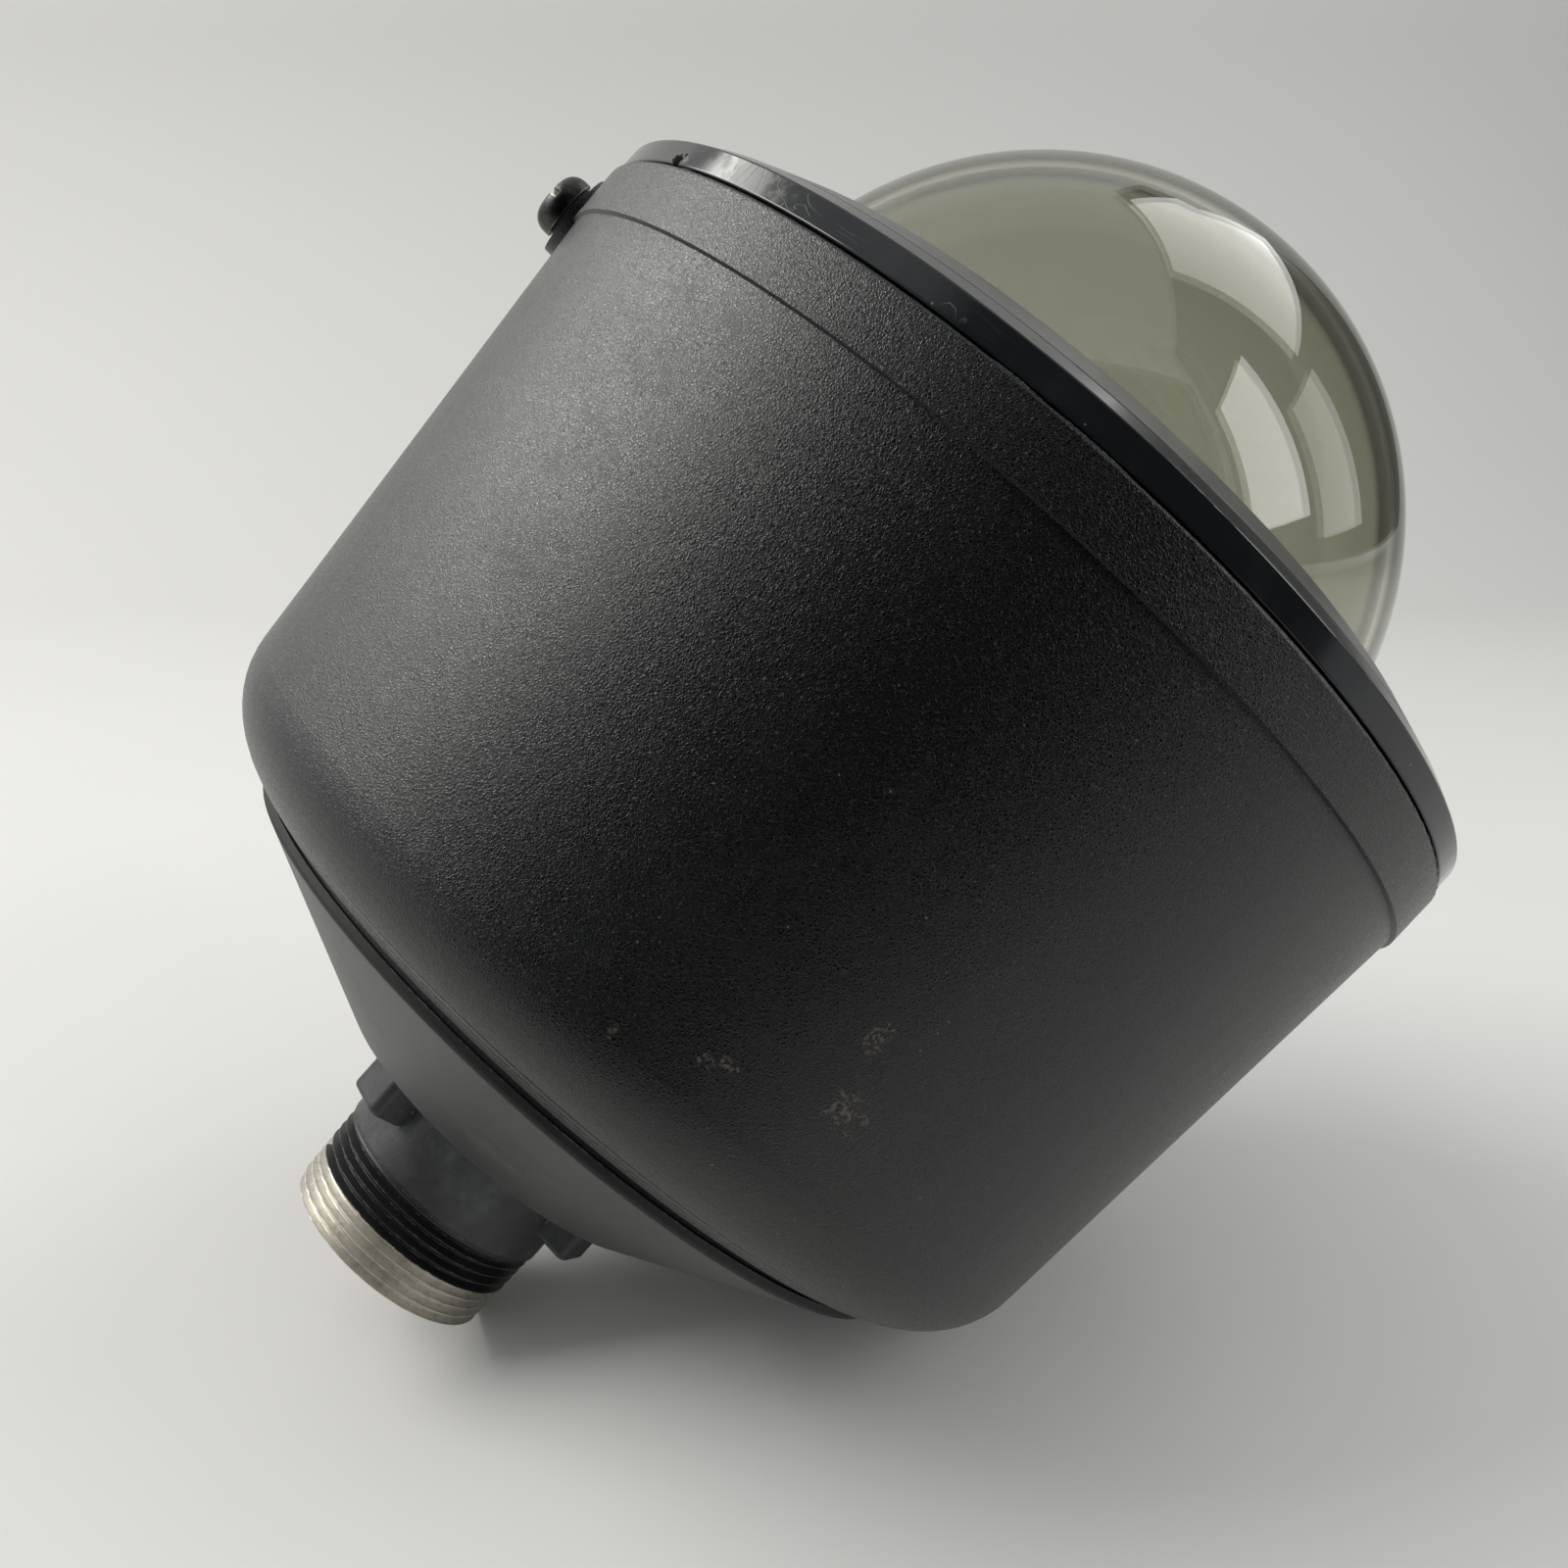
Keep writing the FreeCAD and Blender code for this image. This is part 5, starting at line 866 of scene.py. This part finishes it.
class HOUSING_OT_leave_flash(bpy.types.Operator):
    """Leaves the thin moulding flash on the mouth edge of the box"""

    bl_idname = "housing.leave_flash"
    bl_label = "Leave the mouth flash"

    def execute(self, context):
        material, t, shader = finish("torn_plastic", IOR=1.5)
        fibre = t.noise(1500.0, 3.0, 0.7)
        t.feed(shader.inputs["Base Color"],
               t.mix(t.between(fibre, 0.35, 0.7), (0.010, 0.010, 0.011), (0.20, 0.20, 0.19)))
        t.feed(shader.inputs["Roughness"], t.between(fibre, 0.3, 0.7, 0.35, 0.7))
        bump(t, shader, fibre, 0.0001, 0.8)
        points, faces = [], []
        for start, stop, tall in ((-27.5, -30.5, 1.0), (-67.0, -72.0, 0.7), (-73.5, -81.0, 0.55)):
            steps = max(12, int(abs(stop - start) * 7))
            first = len(points)
            for step in range(steps + 1):
                share = step / steps
                turn = math.radians(start + (stop - start) * share)
                ragged = 0.55 + 0.45 * math.sin(37.0 * share + start) * math.sin(91.0 * share)
                rise = sizes().burr_height * tall * math.sin(math.pi * share) * ragged
                for radius, level in ((BAND_RADIUS - 0.00115, MOUTH + 0.00003),
                                      (BAND_RADIUS - 0.00070, MOUTH - rise),
                                      (BAND_RADIUS - 0.00035, MOUTH + 0.00012)):
                    points.append((radius * math.cos(turn), radius * math.sin(turn), level))
            for step in range(steps):
                a = first + 3 * step
                faces.append((a, a + 1, a + 4, a + 3))
                faces.append((a + 1, a + 2, a + 5, a + 4))
                faces.append((a + 2, a, a + 3, a + 5))
            last = first + 3 * steps
            faces.append((first, first + 2, first + 1))
            faces.append((last, last + 1, last + 2))
        new_piece("mouth_flash", points, faces, [material], "housing")
        return {"FINISHED"}


class HOUSING_OT_fit_board_parts(bpy.types.Operator):
    """Fits capacitors and resistors to the terminal board"""

    bl_idname = "housing.fit_board_parts"
    bl_label = "Fit the board parts"

    def execute(self, context):
        sleeve = moulded_plain("capacitor_sleeve", (0.010, 0.014, 0.040),
                               (0.020, 0.024, 0.055), 0.30, 0.0008)
        can = turned_metal("capacitor_can", (0.62, 0.62, 0.62), (0.45, 0.45, 0.45), 0.30,
                           (0.0, 0.0, 1.0), 0.0030)
        clay = moulded_plain("resistor_body", (0.42, 0.33, 0.20), (0.50, 0.41, 0.27), 0.45,
                             0.0006)
        brown = moulded_plain("resistor_bands", (0.10, 0.035, 0.012), (0.14, 0.05, 0.02),
                              0.45, 0.0006)
        tin = turned_metal("tinned_wire", (0.66, 0.66, 0.65), (0.48, 0.48, 0.47), 0.32,
                           (0.0, 0.0, 1.0), 0.0030)
        tall = sizes().capacitor_height
        wide = sizes().capacitor_radius
        points, faces, marks = [], [], []
        for x in (-0.0250, 0.0250):
            outline = (
                (0.0, wide * 0.90, 0), (0.0003, wide * 0.98, 0), (0.0010, wide, 0),
                (0.0017, wide, 0), (0.0021, wide * 0.88, 0), (0.0027, wide * 0.88, 0),
                (0.0031, wide, 0), (tall - 0.0006, wide, 0), (tall - 0.0001, wide * 0.94, 0),
                (tall, wide * 0.84, 1), (tall - 0.0003, wide * 0.80, 1),
                (tall - 0.0003, wide * 0.10, 1),
            )
            add_turned(points, faces, marks, outline, (x, 0.0610, BOARD_FACE - 0.00005),
                       (0, 0, -1))
        new_piece("board_capacitors", points, faces, [sleeve, can], "housing",
                  marks)
        points, faces, marks = [], [], []
        for x in (-0.0130, -0.0040, 0.0050, 0.0140):
            long, fat, level = 0.0052, 0.00095, BOARD_FACE - 0.00125
            outline = [(0.0, fat * 0.55, 0), (0.0002, fat * 0.90, 0), (0.0007, fat * 1.12, 0)]
            for band in (0.0013, 0.0021, 0.0029):
                outline += [(band, fat, 1), (band + 0.0004, fat, 0)]
            outline += [(long - 0.0007, fat * 1.12, 0), (long - 0.0002, fat * 0.90, 0),
                        (long, fat * 0.55, 0)]
            start = (x - long / 2, 0.0625, level)
            add_turned(points, faces, marks, outline, start, (1, 0, 0), 18)
            for way in (-1.0, 1.0):
                near = x + way * (long / 2 - 0.0002)
                far = x + way * (long / 2 + 0.0009)
                route = ((near, 0.0625, level), (far - way * 0.0003, 0.0625, level),
                         (far, 0.0625, level + 0.0003), (far, 0.0625, BOARD_FACE + 0.0001))
                add_wire(points, faces, marks, route, 0.00028, 2)
        new_piece("board_resistors", points, faces, [clay, brown, tin], "housing",
                  marks)
        return {"FINISHED"}


class HOUSING_OT_finish_shell(bpy.types.Operator):
    """Grained plastic on the back box and its gloss ring and dome"""

    bl_idname = "housing.finish_shell"
    bl_label = "Finish the shell, ring and dome"

    def execute(self, context):
        wear(grained_shell(), "back_box")
        wear(gloss_trim(), "trim_ring")
        wear(smoked_dome(), "dome_bubble")
        return {"FINISHED"}


class HOUSING_OT_finish_seals(bpy.types.Operator):
    """Rubber on the seals, pads and grommet"""

    bl_idname = "housing.finish_seals"
    bl_label = "Finish the seals"

    def execute(self, context):
        wear(seal_foam(), "cap_gasket", "box_seal", "dome_seal", "camera_pad",
             "latch_washer_right", "latch_washer_left")
        wear(grommet_skin(), "cable_grommet")
        return {"FINISHED"}


class HOUSING_OT_finish_sheet(bpy.types.Operator):
    """Zinc plate on the bent and punched sheet"""

    bl_idname = "housing.finish_sheet"
    bl_label = "Finish the sheet metal"

    def execute(self, context):
        wear(zinc_plate(), "mounting_plate", "pan_disc", "yoke", "camera_sled",
             "retaining_ring")
        return {"FINISHED"}


class HOUSING_OT_finish_fasteners(bpy.types.Operator):
    """Plating on the screws, nuts, bushes and jack"""

    bl_idname = "housing.finish_fasteners"
    bl_label = "Finish the fasteners"

    def execute(self, context):
        upright = turned_metal("plated_steel", (0.58, 0.57, 0.54), (0.42, 0.40, 0.36), 0.28,
                               (0.0, 0.0, 1.0), 0.0008)
        across = turned_metal("plated_steel_across", (0.58, 0.57, 0.54), (0.42, 0.40, 0.36),
                              0.28, (1.0, 0.0, 0.0), 0.0008)
        wear(upright, "cap_screws", "cap_washers", "plate_screws", "pan_bolt", "pan_nut",
             "board_screws", "power_clamp_screws", "signal_clamp_screws", "yoke_rivets",
             "retaining_screws")
        wear(across, "tilt_nuts")
        wear(black_oxide(), "latch_screw_right", "latch_screw_left")
        wear(turned_metal("turned_brass", (0.66, 0.47, 0.20), (0.40, 0.27, 0.11), 0.30,
                          (1.0, 0.0, 0.0), 0.0010), "latch_bushes")
        wear(turned_metal("nickel_plate", (0.64, 0.61, 0.55), (0.50, 0.47, 0.41), 0.20,
                          (0.0, 0.0, 1.0), 0.0009),
             "board_standoffs", "video_jack", "video_jack_nut")
        return {"FINISHED"}


class HOUSING_OT_finish_mouldings(bpy.types.Operator):
    """Plastics of the board, terminals, knobs and washers"""

    bl_idname = "housing.finish_mouldings"
    bl_label = "Finish the small mouldings"

    def execute(self, context):
        wear(board_mask(), "terminal_board")
        wear(moulded_plain("terminal_green", (0.020, 0.130, 0.050), (0.030, 0.160, 0.070),
                           0.38, 0.0009), "power_terminals", "signal_terminals")
        wear(moulded_plain("knob_black", (0.010, 0.010, 0.011), (0.022, 0.022, 0.023),
                           0.42, 0.0008), "camera_screw", "tilt_screws")
        wear(moulded_plain("nylon_white", (0.62, 0.61, 0.56), (0.70, 0.69, 0.65),
                           0.40, 0.0008, 0.3), "pan_washer", "tilt_washers")
        return {"FINISHED"}


# ---------------------------------------------------------------- stage


def on_table(right, depth, up):
    """A point of the stage, measured from the table below the housing."""
    return TABLE_POINT + TABLE_RIGHT * right + TABLE_DEPTH * depth + TABLE_UP * up


def bearing(azimuth, height):
    """A direction on the stage: azimuth from straight ahead towards the right."""
    turn, lift = math.radians(azimuth), math.radians(height)
    flat = TABLE_RIGHT * math.sin(turn) + TABLE_DEPTH * math.cos(turn)
    return flat * math.cos(lift) + TABLE_UP * math.sin(lift)


def axes(right, up, back, at):
    """A placing matrix from three axes and a point."""
    turn = Matrix((right, up, back)).transposed().to_4x4()
    return Matrix.Translation(at) @ turn


def stage_mesh(name, points, faces, material):
    mesh = bpy.data.meshes.new(name)
    mesh.from_pydata(points, [], faces)
    mesh.materials.append(material)
    mesh.shade_smooth()
    sheet = bpy.data.objects.new(name, mesh)
    bpy.context.scene.collection.objects.link(sheet)
    return sheet


def soft_lamp(name, at, facing, wide, tall, radiance, hue=(1.0, 1.0, 1.0)):
    """A rectangular lamp of that brightness, facing a direction."""
    lamp = bpy.data.lights.new(name, "AREA")
    lamp.shape = "RECTANGLE"
    lamp.size = wide
    lamp.size_y = tall
    lamp.energy = math.pi * wide * tall * radiance
    lamp.color = hue
    holder = bpy.data.objects.new(name, lamp)
    bpy.context.scene.collection.objects.link(holder)
    back = -facing.normalized()
    right = TABLE_UP.cross(back).normalized()
    holder.matrix_world = axes(right, back.cross(right), back, at)
    holder.visible_camera = False
    return holder


class HOUSING_OT_set_stage(bpy.types.Operator):
    """Lays the table, sets the lamps and the room, and places the camera"""

    bl_idname = "housing.set_stage"
    bl_label = "Set the stage"

    def lay_table(self):
        profile = [(-0.28, 0.0), (0.10, 0.0), (0.45, 0.0), (0.80, 0.0)]
        bend = 0.45
        for step in range(1, 25):
            turn = 0.5 * math.pi * step / 24
            profile.append((0.80 + bend * math.sin(turn), bend * (1.0 - math.cos(turn))))
        profile.append((0.80 + bend, 1.35))
        points, faces = [], []
        across = [-1.4 + 0.28 * step for step in range(11)]
        for depth, up in profile:
            points += [on_table(right, depth, up) for right in across]
        for row in range(len(profile) - 1):
            for step in range(len(across) - 1):
                a = row * len(across) + step
                faces.append((a, a + 1, a + 1 + len(across), a + len(across)))
        stage_mesh("table", points, faces, table_cover())

    def hang_cloth(self, name, middle, across, wide, tall, cloth):
        """Hangs a dark cloth that only reflections see."""
        outward = across.cross(TABLE_UP)
        points, faces = [], []
        columns, rows = 8, 6
        for row in range(rows + 1):
            bow = outward * (0.03 * math.sin(math.pi * row / rows))
            level = TABLE_UP * (tall * (row / rows - 0.5))
            points += [middle + bow + level + across * (wide * (step / columns - 0.5))
                       for step in range(columns + 1)]
        for row in range(rows):
            for step in range(columns):
                a = row * (columns + 1) + step
                faces.append((a, a + 1, a + columns + 2, a + columns + 1))
        sheet = stage_mesh(name, points, faces, cloth)
        sheet.visible_camera = False
        sheet.visible_shadow = False
        sheet.visible_diffuse = False

    def execute(self, context):
        stage = context.scene.housing_stage
        self.lay_table()
        self.hang_cloth("cloth_behind", on_table(0.0, -0.75, 0.05), TABLE_RIGHT, 2.1, 2.5,
                        dark_cloth("black_cloth", (0.003, 0.003, 0.003)))
        self.hang_cloth("cloth_right", on_table(0.0, 0.0, 1.25) + bearing(75.0, 0.0) * 1.3,
                        bearing(165.0, 0.0), 2.9, 2.4,
                        dark_cloth("grey_cloth", (0.10, 0.10, 0.095)))
        middle = on_table(0.0, 0.0, 0.11)
        at = on_table(0.0, 0.0, 0.0) + bearing(-80.0, 46.0) * 2.1
        soft_lamp("left_lamp", at, middle - at, 1.7, 0.8, stage.key, (1.0, 0.985, 0.93))
        foot = on_table(0.0, 0.0, 0.0) + bearing(75.0, 0.0) * 1.2
        along = bearing(75.0 + 90.0, 0.0)
        for name, from_x, to_x, low, high, share in (
                ("right_lamp_high", -1.10, 0.08, 0.86, 2.20, 1.0),
                ("right_lamp_near", 0.54, 1.18, 0.28, 1.28, 2.2),
                ("right_lamp_slim", 0.03, 0.42, 0.16, 0.76, 0.7)):
            at = foot + along * (0.5 * (from_x + to_x)) + TABLE_UP * (0.5 * (low + high))
            soft_lamp(name, at, -bearing(75.0, 0.0), to_x - from_x, high - low,
                      share * stage.panes)
        world = bpy.data.worlds.new("room")
        world.use_nodes = True
        world.node_tree.nodes["Background"].inputs["Color"].default_value = (0.975, 0.995, 1, 1)
        world.node_tree.nodes["Background"].inputs["Strength"].default_value = stage.room
        context.scene.world = world
        context.scene.view_settings.view_transform = "Standard"
        camera = bpy.data.cameras.new("camera")
        camera.lens = 36.0
        camera.sensor_width = 36.0
        camera.clip_start = 0.01
        camera.clip_end = 20.0
        eye = bpy.data.objects.new("camera", camera)
        context.scene.collection.objects.link(eye)
        eye.matrix_world = axes(EYE_RIGHT, EYE_UP, -EYE_AHEAD, EYE)
        context.scene.camera = eye
        return {"FINISHED"}


OPERATORS = (
    HOUSING_OT_cut_thread,
    HOUSING_OT_leave_flash,
    HOUSING_OT_fit_board_parts,
    HOUSING_OT_finish_shell,
    HOUSING_OT_finish_seals,
    HOUSING_OT_finish_sheet,
    HOUSING_OT_finish_fasteners,
    HOUSING_OT_finish_mouldings,
    HOUSING_OT_set_stage,
)


class HOUSING_PT_panel(bpy.types.Panel):
    """The housing's steps, in order"""

    bl_idname = "HOUSING_PT_panel"
    bl_label = "Camera housing"
    bl_space_type = "VIEW_3D"
    bl_region_type = "UI"
    bl_category = "Housing"

    def draw(self, context):
        for operator in OPERATORS:
            self.layout.operator(operator.bl_idname)
        for group in (context.scene.housing_sizes, context.scene.housing_colours,
                      context.scene.housing_stage):
            box = self.layout.box()
            for name in group.__annotations__:
                box.prop(group, name)


CLASSES = (HousingSizes, HousingColours, HousingStage, *OPERATORS, HOUSING_PT_panel)


def register():
    for entry in CLASSES:
        bpy.utils.register_class(entry)
    bpy.types.Scene.housing_sizes = bpy.props.PointerProperty(type=HousingSizes)
    bpy.types.Scene.housing_colours = bpy.props.PointerProperty(type=HousingColours)
    bpy.types.Scene.housing_stage = bpy.props.PointerProperty(type=HousingStage)


def unregister():
    del bpy.types.Scene.housing_stage
    del bpy.types.Scene.housing_colours
    del bpy.types.Scene.housing_sizes
    for entry in reversed(CLASSES):
        bpy.utils.unregister_class(entry)


def main():
    """Registers the add-on and runs its steps in order."""
    register()
    bpy.ops.housing.cut_thread()
    bpy.ops.housing.leave_flash()
    bpy.ops.housing.fit_board_parts()
    bpy.ops.housing.finish_shell()
    bpy.ops.housing.finish_seals()
    bpy.ops.housing.finish_sheet()
    bpy.ops.housing.finish_fasteners()
    bpy.ops.housing.finish_mouldings()
    bpy.ops.housing.set_stage()


if __name__ == "__main__":
    main()
